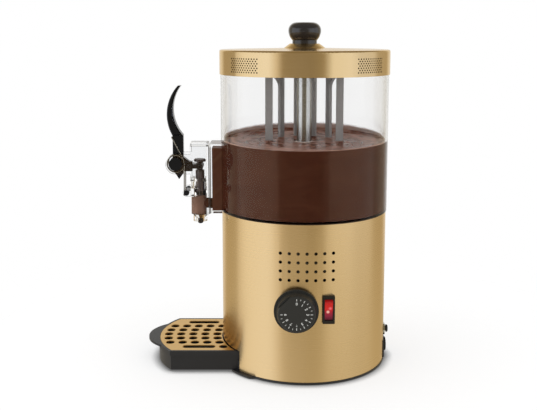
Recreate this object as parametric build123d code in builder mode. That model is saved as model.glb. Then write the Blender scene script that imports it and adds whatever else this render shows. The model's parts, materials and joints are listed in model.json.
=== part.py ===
# Hot chocolate dispenser: heated drum, clear bowl with stirrer, lever tap and drip tray.
# Millimetres, +Z up. The drum's axis is Z, the tap and tray are at -Y, the controls at +X.
# The origin is on the drum's axis, in the plane that the foot ring stands on.

from build123d import *
import math
import os

os.makedirs("parts", exist_ok=True)

# Clearances
slide_gap = 0.4  # beside pieces that slide or lift out
seat_gap = 0.3  # under pieces that rest on another one and lift off
run_gap = 0.05  # radial, round a pin or shaft that turns
liquid_gap = 0.3  # between the chocolate and what holds it

# Drum
body_radius = 100.0
body_top = 188.0
shell_wall = 1.0
shell_bottom = 3.0
vent_radius = 1.9
vent_pitch_y = 10.0
vent_pitch_z = 10.3
vent_columns = 7
vent_rows = 4
vent_drop = 48.5  # middle of the vent field, under the drum's top

# Base
foot_height = 2.0
foot_width = 14.0
foot_inset = 3.0  # from the drum's outside
pan_floor = 3.0
pan_lip = 0.5  # how far the pan's edge stands out past the drum
pan_wall = 2.0
pan_wall_top = 14.0
sill_lip = 5.0  # how far the sills beside the tray stand out past the drum
skirt_bottom = 0.4  # under side of the pan's edge and of the sills
sill_width = 19.0
rail_wall = 3.0

# Drip tray and grid
tray_half = 58.0
tray_bottom = 2.0
tray_height = 24.0
tray_wall = 2.2
tray_floor = 2.0
tray_side_out = 60.0  # end of the straight sides, in front of the drum
tray_nose_out = 80.0  # middle of the curved front, in front of the drum
tray_inside = 38.0  # how far the tray reaches into the drum
tray_open_gap = 0.9  # over the tray, in the drum's cut-out
rim_height = 6.0
rim_lip = 1.8
rim_wall = 1.0  # beside the grid
tab_half = 39.5  # where the tab leaves the tray's front
tab_out = 13.0  # in front of the tray
tab_thickness = 3.0
grid_thickness = 1.2
grid_back_gap = 1.4  # between the grid's back edge and the drum
grid_rib = 2.5
grid_hole_radius = 5.0
grid_hole_bevel = 0.7
grid_rows = 5
grid_columns = 5
grid_nose_margin = 11.6
grid_back_margin = 6.2  # from the last holes' middles to the back edge
slot_inset = 13.6  # from the tray's sides
slot_length = 39.0
slot_width = 8.6
slot_out = 27.3  # middle of the slots, in front of the drum
side_hole_gap = 5.85  # middle of the two holes behind the slots, from the grid's back edge

# Controls
control_drop = 98.0  # middle of dial and switch, under the drum's top
dial_offset = -12.0
dial_radius = 25.5
dial_skirt = 3.0
dial_cone_radius = 23.2
dial_face_radius = 21.0
dial_depth = 14.5
dial_edge = 0.75
dial_flat = 19.0  # distance of the flat from the dial's centre
dial_flat_depth = 3.0
dial_flat_angle = 135.0
bezel_radius = 22.0
bezel_depth = 2.4  # in front of the drum's foremost line
spindle_radius = 3.0
spindle_grip = 10.0  # length of spindle inside the dial and inside the thermostat
neck_radius = 6.0
thermostat_size = 34.0
thermostat_corner = 3.4
thermostat_depth = 30.0
thermostat_setback = 6.0  # behind the drum's foremost line
switch_offset = 25.0
switch_frame_width = 14.0
switch_frame_height = 33.0
switch_frame_corner = 1.2
switch_frame_edge = 0.4
switch_width = 12.0
switch_height = 28.4
switch_depth = 28.8
switch_proud = 0.8  # frame in front of the drum's foremost line
switch_pocket = 7.8  # behind the rocker's pins
rocker_width = 9.0
rocker_half = 11.8
rocker_rise = 2.6
rocker_dip = 1.0
rocker_keel = 5.2
rocker_keel_half = 4.0
rocker_pin_radius = 1.2
rocker_pin_length = 0.8
rocker_tilt = 12.0
rocker_pivot_depth = 1.6  # behind the frame's front

# Rear
panel_half = 19.8
panel_top = 24.0
panel_proud = 1.6
panel_thickness = 4.6
gland_radius = 7.0
gland_bore = 3.8
gland_flange_radius = 8.6
gland_flange = 2.0
gland_length = 12.0
gland_edge = 0.6
cutout_rise = 9.5  # middle of the cut-out, over the panel
cutout_radius = 8.4
cutout_length = 24.0
cutout_neck_radius = 5.2
nut_radius = 8.0
nut_thickness = 2.2
reset_radius = 3.4
reset_stem = 12.0
reset_head_radius = 4.8
reset_head = 2.2
reset_round = 1.7
reset_travel = 1.5

# Water bath
deck_width = 11.0
deck_height = 7.0
tank_wall = 1.0
tank_depth = 65.9
tank_flange_drop = 4.1  # under the drum's top
tank_flange_gap = 1.2  # to the drum
chimney_radius = 6.4
chimney_wall = 1.2
chimney_rise = 3.1  # over the tank's flange
heater_radius = 4.2
heater_ring = 58.0
heater_rise = 12.0  # over the tank's bottom
heater_bend = 10.0
heater_spread = 26.0  # angle between the heater's ends and the rear, seen from the axis
heater_tail = 12.0  # under the tank
heater_nut_radius = 8.0
heater_nut_height = 5.0
bulb_radius = 3.0
bulb_length = 60.0
bulb_offset = 45.0
capillary_radius = 1.0
capillary_bend = 6.0
capillary_fall = 14.0  # from the bulb down to the thermostat

# Drive
drive_drop = 23.5  # from the tank's bottom to the bracket's top
shaft_radius = 4.0
shaft_hex = 7.0  # across flats at the top
shaft_hex_length = 20.0
shaft_setback = 2.3  # under the stirrer's hub top
bush_length = 8.0
output_radius = 5.0
output_grip = 9.5  # in the coupling
output_depth = 13.0  # in the gearbox
gearbox_size_x = 64.0
gearbox_size_y = 56.0
gearbox_corner = 7.0
gearbox_height = 26.0
gearbox_boss_radius = 9.5
gearbox_boss = 5.0
motor_radius = 27.0
motor_height = 42.0
motor_corner = 3.0
bracket_plate = 2.5
bracket_half_x = 50.0
bracket_half_y = 31.0
bracket_foot = 11.0
coupling_radius = 8.5
coupling_height = 15.0
coupling_gap = 1.5  # over the gearbox's boss
screw_radius = 2.0
screw_head_radius = 3.6
screw_head = 2.4
screw_spread_x = 24.0
screw_spread_y = 20.0
screw_depth = 8.0
foot_screw_spread = 18.0
terminal_setback = 33.0  # behind the drum's outside
terminal_size_x = 32.0
terminal_size_y = 14.0
terminal_height = 15.0
terminal_ways = 3
terminal_pitch = 10.0
terminal_bore = 2.0

# Bowl
bowl_overhang = 1.0  # past the drum
bowl_height = 165.6
bowl_wall_thickness = 3.2
bowl_spigot_gap = 0.6
bowl_spigot_wall = 3.4
bowl_ledge_rise = 3.0  # over the drum's top
bowl_ledge_thickness = 4.4
bowl_ledge = 11.8  # from the bowl's inside
gasket_width = 7.0
gasket_thickness = 1.2
floor_sheet = 1.0
floor_depth = 10.2
column_radius = 9.0
column_wall = 1.4
column_rise = 4.0  # over the bowl's top
chocolate_rise = 85.0  # level over the drum's top

# Stirrer
cage_radius = 43.2
cage_wall = 3.2
cage_turn = -4.0  # turn of the cage as it rests
bar_width = 9.0
blade_width = 29.0  # middle bar
end_bar_place = 42.8  # middle of the two flat end bars
cage_floor_gap = 7.0  # over the bowl's floor
cage_foot = 8.0
cage_rise = 4.7  # over the hub's underside
cage_head = 10.0  # over the inner windows
cage_shoulder = 16.0  # over the outer windows
arm_height = 7.0
hub_radius = 12.0
hub_height = 13.0
hub_hex_gap = 0.25
cap_height = 3.0
cap_radius = 8.0
cap_edge = 1.0
stirrer_clearance = 4.0  # chocolate kept off the cage's path

# Lid
lid_sheet = 0.8
lid_overlap = 2.0  # past the bowl's rim
lid_height = 29.0
lid_crown = 1.8
lid_corner = 2.5
boss_radius = 25.0
boss_top_radius = 17.8
boss_height = 5.2
lid_ring_gap = 0.6
lid_ring_wall = 1.2
lid_ring_depth = 1.8
lid_web = 1.2
lid_vent_radius = 0.9
lid_vent_pitch = 3.75
lid_vent_row = 2.5
lid_vent_rows = 7
lid_vent_count = 12
lid_vent_rise = 12.3  # over the lid's lower edge
lid_vent_patches = 4
lid_vent_angle = 45.0
knob_neck_radius = 14.8
knob_radius = 19.6
knob_waist = 4.0
knob_widest = 15.6
knob_height = 25.2
lid_screw_radius = 2.5
lid_screw_grip = 14.0
lid_screw_head_radius = 5.0
lid_screw_head = 2.5

# Outlet chamber, with heights from the drum's top
block_half = 20.0
block_depth = 13.0  # in front of the bowl
block_wall = 3.0
block_bottom = -3.0
block_height = 84.0
block_roof = 5.0
port_radius = 6.2
port_height = 7.0
window_half = 14.0
window_bottom = 5.5
window_height = 21.5
gasket_half = 12.0
gasket_margin = 1.5  # inside the tap's outline, above and below
tap_gasket_thickness = 2.0

# Tap, with heights from the drum's top and distances from the plunger's axis
tap_half = 13.5
tap_side = 3.3
tap_depth = 11.0  # to its back and its front
tap_back_wall = 2.8
tap_bottom = -7.0
tap_height = 84.5
tap_cap_thickness = 3.5
tap_edge = 0.8
chamber_floor = 38.0
barrel_bore = 7.5
nozzle_radius = 8.6
nozzle_length = 9.0
nozzle_seat = 5.0
pivot_forward = 28.7
pivot_rise = 55.7
pivot_pin_radius = 2.0
pin_head_radius = 8.0
pin_head = 1.2
ear_radius = 12.0
spring_pin_forward = 15.5
spring_pin_rise = 21.2
spring_pin_radius = 2.4
spring_knob_radius = 3.4
spring_knob_length = 3.2
lug_radius = 5.0

# Plunger, with heights from the drum's top
plunger_radius = 7.15
plunger_top = 61.0
plunger_edge = 1.0
waist_radius = 3.6
waist_bottom = 47.2
waist_height = 10.6
stem_radius = 5.4
piston_radius = 7.0
piston_bottom = 16.6
piston_flange = 1.2
seal_count = 2
seal_height = 2.0
seal_gap = 0.1  # to the barrel
seal_bore = 5.3
rod_radius = 3.2
tip_radius = 3.35
tip_top = -10.0
tip_length = 9.6
tip_gap = 0.3  # in the nozzle
tip_round = 2.4

# Lever, measured from its pivot, forwards and up
lever_half = 4.0
lever_end_gap = 0.6  # beside the boss
lever_boss_radius = 8.0
stem_front = 3.9
stem_back = -9.1
handle_foot = 34.3
handle_half = 8.0
handle_bulge_front = 10.1
handle_bulge_front_rise = 60.3
handle_bulge_back = 2.7
handle_bulge_back_rise = 63.3
handle_tip_front = -3.5
handle_tip_back = -6.9
handle_tip_rise = 94.3
handle_bevel = 1.4
arm_root_back = -5.7
arm_root_rise = 10.3
arm_shoulder = 2.3
arm_drop = 9.7
arm_foot_back = -8.7
arm_end = 9.0  # in front of the plunger's axis
arm_slope = 3.0  # length of the flat on top of the arm
fork_start = 16.2  # in front of the plunger's axis
fork_half = 8.0
fork_bar = 5.4
fork_tip_radius = 4.5
fork_gap = 0.35
fork_slot_end = 4.4  # in front of the plunger's axis
toe_front = 4.1
toe_front_drop = 7.7
toe_tip_back = -3.4
toe_tip_drop = 19.7
toe_back = -9.9
toe_back_drop = 10.7

# Return spring
wire_radius = 0.7
coil_radius = 10.4
coil_pitch = 2.0
coil_turns = 2
spring_leg_drop = 39.2  # lower ends, under the pivot
spring_bridge_rise = 31.8  # bridge, over the pivot
spring_bend = 2.0
spring_gap = 0.3  # beside the lever and in front of what it presses on

# Places worked out from the sizes above
shell_inner = body_radius - shell_wall
pan_top = foot_height + pan_floor
tray_top = tray_bottom + tray_height
tray_nose = body_radius + tray_nose_out
tray_side_end = body_radius + tray_side_out
tray_rear = body_radius - tray_inside
nose_sagitta = tray_nose - tray_side_end
nose_radius = (tray_half**2 + nose_sagitta**2) / (2 * nose_sagitta)
bay_half = tray_half + slide_gap
bay_back = tray_rear - slide_gap
rail_top = tray_top - rim_height - seat_gap
cutout_half = tray_half + rim_lip + rail_wall
sill_end = cutout_half + sill_width
grid_back = body_radius + grid_back_gap
slot_offset = tray_half - slot_inset
grid_row_pitch = 2 * slot_offset / (grid_rows + 1)
grid_bottom = tray_top - grid_thickness
vent_height = body_top - vent_drop
control_height = body_top - control_drop
dial_back = body_radius + bezel_depth + slide_gap
dial_front = dial_back + dial_depth
thermostat_front = body_radius - thermostat_setback
thermostat_back = thermostat_front - thermostat_depth
switch_front = body_radius + switch_proud
rocker_pivot = switch_front - rocker_pivot_depth
gland_height = (shell_bottom + panel_top) / 2
gland_face = body_radius + panel_proud
cutout_height = panel_top + cutout_rise
cutout_back = shell_inner - slide_gap - cutout_length
nut_back = body_radius + run_gap
reset_seat = nut_back + nut_thickness + reset_travel + seat_gap
reset_bore_depth = reset_stem + slide_gap
tank_flange_top = body_top - tank_flange_drop
tank_radius = shell_inner - deck_width
tank_bottom = tank_flange_top - tank_depth
chimney_top = tank_flange_top + chimney_rise
heater_height = tank_bottom + heater_rise
bulb_height = tank_bottom - bulb_radius - run_gap
bracket_top = tank_bottom - drive_drop
gearbox_top = bracket_top - bracket_plate
gearbox_bottom = gearbox_top - gearbox_height
coupling_bottom = gearbox_top + gearbox_boss + coupling_gap
coupling_top = coupling_bottom + coupling_height
output_top = coupling_bottom + output_grip
bowl_radius = body_radius + bowl_overhang
bowl_inner = bowl_radius - bowl_wall_thickness
bowl_bottom = body_top + slide_gap
bowl_top = bowl_bottom + bowl_height
bowl_rest = tank_flange_top + seat_gap
spigot_outer = shell_inner - bowl_spigot_gap
ledge_top = body_top + bowl_ledge_rise
ledge_bore = bowl_inner - bowl_ledge
gasket_radius = ledge_bore + gasket_width
floor_flange_top = ledge_top + gasket_thickness + floor_sheet
floor_bottom = floor_flange_top - floor_sheet - floor_depth
floor_radius = ledge_bore - slide_gap
column_bore = column_radius - column_wall
column_top = bowl_top + column_rise
chocolate_level = body_top + chocolate_rise
cage_bottom = floor_bottom + floor_sheet + cage_floor_gap
hub_bottom = column_top + seat_gap
hub_top = hub_bottom + hub_height
cage_top = hub_bottom + cage_rise
shaft_top = hub_top - shaft_setback
lid_inner = bowl_radius + slide_gap
lid_radius = lid_inner + lid_sheet
lid_bottom = bowl_top - lid_overlap
lid_edge_top = lid_bottom + lid_height
lid_web_bottom = bowl_top + seat_gap
lid_ring_outer = bowl_inner - lid_ring_gap
crown_top = lid_edge_top + lid_crown
boss_top = crown_top + boss_height
knob_flat_radius = knob_radius - knob_height + knob_widest
block_front = bowl_radius + block_depth
tap_reach = block_front + tap_gasket_thickness + tap_depth
tap_roof = tap_bottom + tap_height
chamber_half = tap_half - tap_side
chamber_back = tap_depth - tap_back_wall
waist_top = waist_bottom + waist_height
fork_height = (waist_bottom + waist_top) / 2
seal_radius = barrel_bore - seal_gap
seal_groove = seal_count * seal_height
piston_top = piston_bottom + 2 * piston_flange + seal_groove
lever_boss_half = chamber_half - lever_end_gap

# Planes and axes
rear_plane = Plane(origin=(0, 0, 0), x_dir=(-1, 0, 0), z_dir=(0, 1, 0))
tap_side_plane = Plane(origin=(0, -tap_reach, body_top), x_dir=(0, -1, 0), z_dir=(-1, 0, 0))
lever_plane = Plane(
    origin=(0, -tap_reach - pivot_forward, body_top + pivot_rise),
    x_dir=(0, -1, 0),
    z_dir=(-1, 0, 0),
)
plunger_axis = Axis((0, -tap_reach, 0), (0, 0, 1))


def tap_level(height):
    # Level plane on the plunger's axis, at a height over the drum's top
    return Plane(origin=(0, -tap_reach, body_top + height))


def stirrer_level(height):
    # Level plane turned with the cage
    turn = math.radians(cage_turn)
    return Plane(origin=(0, 0, height), x_dir=(math.cos(turn), math.sin(turn), 0))


def nose_reach(offset):
    # Distance of the tray's curved front from the axis, at a sideways offset
    return tray_nose - nose_radius + math.sqrt(nose_radius**2 - offset**2)


def outline(plane, *points):
    with BuildSketch(plane) as drawn:
        with BuildLine():
            Polyline(*points, close=True)
        make_face()
    return drawn.sketch


def tray_plan(height, grow=0.0):
    # Straight sides and curved front, drawn larger or smaller all round
    with BuildSketch(Plane.XY.offset(height)) as drawn:
        with BuildLine():
            Line((tray_half, -tray_side_end), (tray_half, -tray_rear))
            Line((tray_half, -tray_rear), (-tray_half, -tray_rear))
            Line((-tray_half, -tray_rear), (-tray_half, -tray_side_end))
            ThreePointArc((-tray_half, -tray_side_end), (0, -tray_nose), (tray_half, -tray_side_end))
        make_face()
        if grow:
            offset(amount=grow, kind=Kind.INTERSECTION, mode=Mode.REPLACE)
    return drawn.sketch


def quarter_biarc(start, start_run, end, end_run):
    # Two arcs that leave one point and reach another along given directions
    reach = end - start
    bend = 2 * (1 - start_run.dot(end_run))
    along = reach.dot(start_run + end_run)
    arm = (math.sqrt(along**2 + bend * reach.dot(reach)) - along) / bend
    joint_run = (end - end_run * arm) - (start + start_run * arm)
    joint = (start + start_run * arm) + joint_run * 0.5
    TangentArc(start, joint, tangent=start_run)
    TangentArc(joint, end, tangent=joint_run)


# Base

with BuildPart() as foot_ring:
    with BuildSketch():
        Circle(body_radius - foot_inset)
        Circle(body_radius - foot_inset - foot_width, mode=Mode.SUBTRACT)
        with Locations((0, -body_radius)):
            Rectangle(2 * (bay_half + rail_wall), 2 * (body_radius - bay_back), mode=Mode.SUBTRACT)
    extrude(amount=foot_height)
foot_ring.part.label = "foot_ring"
export_step(foot_ring.part, "parts/foot_ring.step")

with BuildPart() as base_pan:
    # edge round the foot ring, which the drum stands on
    with BuildSketch(Plane.XY.offset(skirt_bottom)):
        Circle(body_radius + pan_lip)
        Circle(body_radius - foot_inset + slide_gap, mode=Mode.SUBTRACT)
    extrude(amount=shell_bottom - skirt_bottom)
    with BuildSketch(Plane.XY.offset(foot_height)):
        Circle(shell_inner)
    extrude(amount=pan_floor)
    with BuildSketch(Plane.XY.offset(foot_height)):
        Circle(shell_inner)
        Circle(shell_inner - pan_wall, mode=Mode.SUBTRACT)
    extrude(amount=pan_wall_top - foot_height)
    # sills beside the tray
    with BuildSketch(Plane.XY.offset(skirt_bottom)):
        Circle(body_radius + sill_lip)
        Circle(body_radius - foot_inset + slide_gap, mode=Mode.SUBTRACT)
        with Locations((0, -body_radius)):
            Rectangle(2 * sill_end, body_radius, mode=Mode.INTERSECT)
    extrude(amount=shell_bottom - seat_gap - skirt_bottom)
    # tray bay: rails, back wall, then the opening for the tray
    with BuildSketch(Plane.XY.offset(foot_height)):
        with Locations((0, -body_radius)):
            Rectangle(2 * (bay_half + rail_wall), 2 * (body_radius - bay_back + pan_wall))
        Circle(shell_inner - pan_wall, mode=Mode.INTERSECT)
    extrude(amount=rail_top - foot_height)
    with BuildSketch():
        with Locations((0, -body_radius)):
            Rectangle(2 * bay_half, 2 * (body_radius - bay_back))
    extrude(amount=tray_top, mode=Mode.SUBTRACT)
    # room for the rear panel, and the bracket's screw holes
    with BuildSketch(Plane.XY.offset(shell_bottom)):
        with Locations((0, body_radius)):
            Rectangle(2 * (panel_half + slide_gap), 2 * (panel_thickness + pan_wall + shell_wall))
    extrude(amount=pan_wall_top, mode=Mode.SUBTRACT)
    with Locations((0, 0, pan_top)):
        with GridLocations(2 * bracket_half_x + bracket_foot, 2 * foot_screw_spread, 2, 2):
            Hole(screw_radius, depth=pan_floor)
base_pan.part.label = "base_pan"
export_step(base_pan.part, "parts/base_pan.step")

# Drum

with BuildPart() as body_shell:
    with BuildSketch(Plane.XY.offset(shell_bottom)):
        Circle(body_radius)
        Circle(shell_inner, mode=Mode.SUBTRACT)
    extrude(amount=body_top - shell_bottom)
    # tray cut-out at the front
    with BuildSketch(Plane.XY.offset(shell_bottom)):
        with Locations((0, -body_radius)):
            Rectangle(2 * cutout_half, body_radius)
    extrude(amount=tray_top + tray_open_gap - shell_bottom, mode=Mode.SUBTRACT)
    # vents, dial spindle and switch
    with BuildSketch(Plane.YZ):
        with Locations((0, vent_height)):
            with GridLocations(vent_pitch_y, vent_pitch_z, vent_columns, vent_rows):
                Circle(vent_radius)
        with Locations((dial_offset, control_height)):
            Circle(neck_radius + slide_gap)
        with Locations((switch_offset, control_height)):
            Rectangle(switch_width + slide_gap, switch_height + slide_gap)
    extrude(amount=body_radius, mode=Mode.SUBTRACT)
    # rear panel and reset button
    with BuildSketch(rear_plane):
        with Locations((0, shell_bottom)):
            Rectangle(2 * (panel_half + run_gap), 2 * (panel_top + run_gap - shell_bottom))
        with Locations((0, cutout_height)):
            Circle(cutout_neck_radius + run_gap)
    extrude(amount=body_radius, mode=Mode.SUBTRACT)
body_shell.part.label = "body_shell"
export_step(body_shell.part, "parts/body_shell.step")

# Rear panel, cord gland and overheat cut-out

with BuildPart() as rear_panel:
    with BuildSketch(Plane.XY.offset(shell_bottom)):
        Circle(gland_face)
        Circle(gland_face - panel_thickness, mode=Mode.SUBTRACT)
        with Locations((0, body_radius)):
            Rectangle(2 * panel_half, body_radius, mode=Mode.INTERSECT)
    extrude(amount=panel_top - shell_bottom)
    with BuildSketch(rear_plane):
        with Locations((0, gland_height)):
            Circle(gland_radius)
    extrude(amount=gland_face, mode=Mode.SUBTRACT)
rear_panel.part.label = "rear_panel"
export_step(rear_panel.part, "parts/rear_panel.step")

with BuildPart() as cord_gland:
    with BuildSketch(rear_plane.offset(gland_face + gland_flange - gland_length)):
        with Locations((0, gland_height)):
            Circle(gland_radius)
    extrude(amount=gland_length)
    with BuildSketch(rear_plane.offset(gland_face)):
        with Locations((0, gland_height)):
            Circle(gland_flange_radius)
    extrude(amount=gland_flange)
    chamfer(cord_gland.faces().sort_by(Axis.Y)[-1].edges(), gland_edge)
    with BuildSketch(rear_plane):
        with Locations((0, gland_height)):
            Circle(gland_bore)
    extrude(amount=gland_face + gland_length, mode=Mode.SUBTRACT)
cord_gland.part.label = "cord_gland"
export_step(cord_gland.part, "parts/cord_gland.step")

with BuildPart() as safety_cutout:
    with BuildSketch(rear_plane.offset(cutout_back)):
        with Locations((0, cutout_height)):
            Circle(cutout_radius)
    extrude(amount=cutout_length - slide_gap)
    with BuildSketch(rear_plane.offset(cutout_back)):
        with Locations((0, cutout_height)):
            Circle(cutout_neck_radius)
    extrude(amount=nut_back + nut_thickness - cutout_back)
    with BuildSketch(rear_plane.offset(nut_back + nut_thickness - reset_bore_depth)):
        with Locations((0, cutout_height)):
            Circle(reset_radius + run_gap)
    extrude(amount=reset_bore_depth, mode=Mode.SUBTRACT)
safety_cutout.part.label = "safety_cutout"
export_step(safety_cutout.part, "parts/safety_cutout.step")

with BuildPart() as cutout_nut:
    with BuildSketch(rear_plane.offset(nut_back)):
        with Locations((0, cutout_height)):
            RegularPolygon(nut_radius, 6)
            Circle(cutout_neck_radius, mode=Mode.SUBTRACT)
    extrude(amount=nut_thickness)
cutout_nut.part.label = "cutout_nut"
export_step(cutout_nut.part, "parts/cutout_nut.step")

with BuildPart() as reset_button:
    with BuildSketch(rear_plane.offset(reset_seat - reset_stem + reset_travel)):
        with Locations((0, cutout_height)):
            Circle(reset_radius)
    extrude(amount=reset_stem - reset_travel)
    with BuildSketch(rear_plane.offset(reset_seat)):
        with Locations((0, cutout_height)):
            Circle(reset_head_radius)
    extrude(amount=reset_head)
    fillet(reset_button.faces().sort_by(Axis.Y)[-1].edges(), reset_round)
reset_button.part.label = "reset_button"
export_step(reset_button.part, "parts/reset_button.step")

# Water bath

with BuildPart() as deck_ring:
    with BuildSketch(Plane.XY.offset(tank_flange_top - tank_wall - deck_height)):
        Circle(shell_inner)
        Circle(tank_radius + run_gap, mode=Mode.SUBTRACT)
    extrude(amount=deck_height)
deck_ring.part.label = "deck_ring"
export_step(deck_ring.part, "parts/deck_ring.step")

heater_turn = math.radians(90 + heater_spread)
heater_end = Vector(math.cos(heater_turn), math.sin(heater_turn)) * heater_ring
heater_run = Vector(-math.sin(heater_turn), math.cos(heater_turn))
heater_leg = heater_end - heater_run * heater_bend
heater_leg_places = [(side * heater_leg.X, heater_leg.Y) for side in (-1, 1)]
with BuildPart() as water_tank:
    with BuildSketch(Plane.XY.offset(tank_bottom)):
        Circle(tank_radius)
        Circle(tank_radius - tank_wall, mode=Mode.SUBTRACT)
    extrude(amount=tank_depth)
water_tank.part.label = "water_tank"
export_step(water_tank.part, "parts/water_tank.step")

# the flange that the tank hangs by is welded on
with BuildPart() as tank_flange:
    with BuildSketch(Plane.XY.offset(tank_flange_top - tank_wall)):
        Circle(shell_inner - tank_flange_gap)
        Circle(tank_radius, mode=Mode.SUBTRACT)
    extrude(amount=tank_wall)
tank_flange.part.label = "tank_flange"
export_step(tank_flange.part, "parts/tank_flange.step")

# the tank's floor is welded in, with the chimney that the drive shaft goes up through
with BuildPart() as tank_floor:
    floor_sheet_side = outline(
        Plane.XZ,
        (chimney_radius - chimney_wall, tank_bottom),
        (tank_radius - tank_wall, tank_bottom),
        (tank_radius - tank_wall, tank_bottom + tank_wall),
        (chimney_radius, tank_bottom + tank_wall),
        (chimney_radius, chimney_top),
        (chimney_radius - chimney_wall, chimney_top),
    )
    revolve(floor_sheet_side, axis=Axis.Z)
    with BuildSketch(Plane.XY.offset(tank_bottom)):
        with Locations(*heater_leg_places):
            Circle(heater_radius)
    extrude(amount=tank_wall, mode=Mode.SUBTRACT)
tank_floor.part.label = "tank_floor"
export_step(tank_floor.part, "parts/tank_floor.step")

heater_bottom = tank_bottom - heater_tail
bend_bottom = heater_height - heater_bend
half_turn_share = math.sqrt(0.5)
bend_middle = heater_leg + heater_run * heater_bend * (1 - half_turn_share)
with BuildPart() as heating_element:
    with BuildLine() as heater_path:
        for side in (-1, 1):
            leg_top = (side * heater_leg.X, heater_leg.Y, bend_bottom)
            Line((side * heater_leg.X, heater_leg.Y, heater_bottom), leg_top)
            ThreePointArc(
                leg_top,
                (side * bend_middle.X, bend_middle.Y, bend_bottom + heater_bend * half_turn_share),
                (side * heater_end.X, heater_end.Y, heater_height),
            )
        CenterArc((0, 0, heater_height), heater_ring, 90 + heater_spread, 360 - 2 * heater_spread)
    with BuildSketch(Plane.XY.offset(heater_bottom)):
        with Locations(heater_leg_places[0]):
            Circle(heater_radius)
    sweep(path=heater_path.wires()[0])
heating_element.part.label = "heating_element"
export_step(heating_element.part, "parts/heating_element.step")

with BuildPart() as heater_nuts:
    with BuildSketch(Plane.XY.offset(tank_bottom - heater_nut_height)):
        with Locations(*heater_leg_places):
            RegularPolygon(heater_nut_radius, 6)
            Circle(heater_radius, mode=Mode.SUBTRACT)
    extrude(amount=heater_nut_height)
heater_nuts.part.label = "heater_nuts"
export_step(heater_nuts.part, "parts/heater_nuts.step")

# Thermostat and switch

with BuildPart() as thermostat_body:
    with BuildSketch(Plane.YZ.offset(thermostat_back)):
        with Locations((dial_offset, control_height)):
            RectangleRounded(thermostat_size, thermostat_size, thermostat_corner)
    extrude(amount=thermostat_depth)
    with BuildSketch(Plane.YZ.offset(thermostat_front)):
        with Locations((dial_offset, control_height)):
            Circle(neck_radius)
    extrude(amount=body_radius + bezel_depth - thermostat_front)
    with BuildSketch(Plane.YZ.offset(thermostat_front - spindle_grip)):
        with Locations((dial_offset, control_height)):
            Circle(spindle_radius + run_gap)
    extrude(amount=dial_back - thermostat_front + spindle_grip, mode=Mode.SUBTRACT)
thermostat_body.part.label = "thermostat_body"
export_step(thermostat_body.part, "parts/thermostat_body.step")

capillary_side = dial_offset - 2 * capillary_bend
capillary_height = bulb_height - capillary_fall
with BuildPart() as thermostat_bulb:
    with BuildSketch(Plane.XZ.offset(-bulb_length)):
        with Locations((bulb_offset, bulb_height)):
            Circle(bulb_radius)
    extrude(amount=bulb_length)
    with BuildLine() as capillary:
        FilletPolyline(
            (bulb_offset, 0, bulb_height),
            (bulb_offset, capillary_side, bulb_height),
            (bulb_offset, capillary_side, capillary_height),
            (thermostat_back, capillary_side, capillary_height),
            radius=capillary_bend,
        )
    with BuildSketch(Plane.XZ):
        with Locations((bulb_offset, bulb_height)):
            Circle(capillary_radius)
    sweep(path=capillary.wires()[0])
thermostat_bulb.part.label = "thermostat_bulb"
export_step(thermostat_bulb.part, "parts/thermostat_bulb.step")

with BuildPart() as dial_bezel:
    with BuildSketch(Plane.YZ):
        with Locations((dial_offset, control_height)):
            Circle(bezel_radius)
            Circle(neck_radius + run_gap, mode=Mode.SUBTRACT)
    extrude(amount=body_radius + bezel_depth)
    with BuildSketch():
        Circle(body_radius)
    extrude(amount=body_top, mode=Mode.SUBTRACT)
dial_bezel.part.label = "dial_bezel"
export_step(dial_bezel.part, "parts/dial_bezel.step")

spindle_back = thermostat_front - spindle_grip + slide_gap
with BuildPart() as thermostat_spindle:
    with BuildSketch(Plane.YZ.offset(spindle_back)):
        with Locations((dial_offset, control_height)):
            Circle(spindle_radius)
    extrude(amount=dial_back + spindle_grip - spindle_back)
thermostat_spindle.part.label = "thermostat_spindle"
export_step(thermostat_spindle.part, "parts/thermostat_spindle.step")

with BuildPart() as thermostat_knob:
    with BuildSketch(Plane.YZ.offset(dial_back)):
        with Locations((dial_offset, control_height)):
            Circle(dial_radius)
    extrude(amount=dial_skirt)
    with BuildSketch(Plane.YZ.offset(dial_back + dial_skirt)):
        with Locations((dial_offset, control_height)):
            Circle(dial_cone_radius)
    with BuildSketch(Plane.YZ.offset(dial_front)):
        with Locations((dial_offset, control_height)):
            Circle(dial_face_radius)
    loft()
    chamfer(thermostat_knob.faces().sort_by(Axis.X)[-1].edges(), dial_edge)
    # flat beside the empty quarter of the scale
    with BuildSketch(Plane.YZ.offset(dial_front - dial_flat_depth)):
        with Locations(Location((dial_offset, control_height), dial_flat_angle)):
            with Locations((dial_flat + dial_radius, 0)):
                Rectangle(2 * dial_radius, 2 * dial_radius)
    extrude(amount=dial_flat_depth, mode=Mode.SUBTRACT)
    with BuildSketch(Plane.YZ.offset(dial_back)):
        with Locations((dial_offset, control_height)):
            Circle(spindle_radius)
    extrude(amount=spindle_grip, mode=Mode.SUBTRACT)
thermostat_knob.part.label = "thermostat_knob"
export_step(thermostat_knob.part, "parts/thermostat_knob.step")

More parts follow.
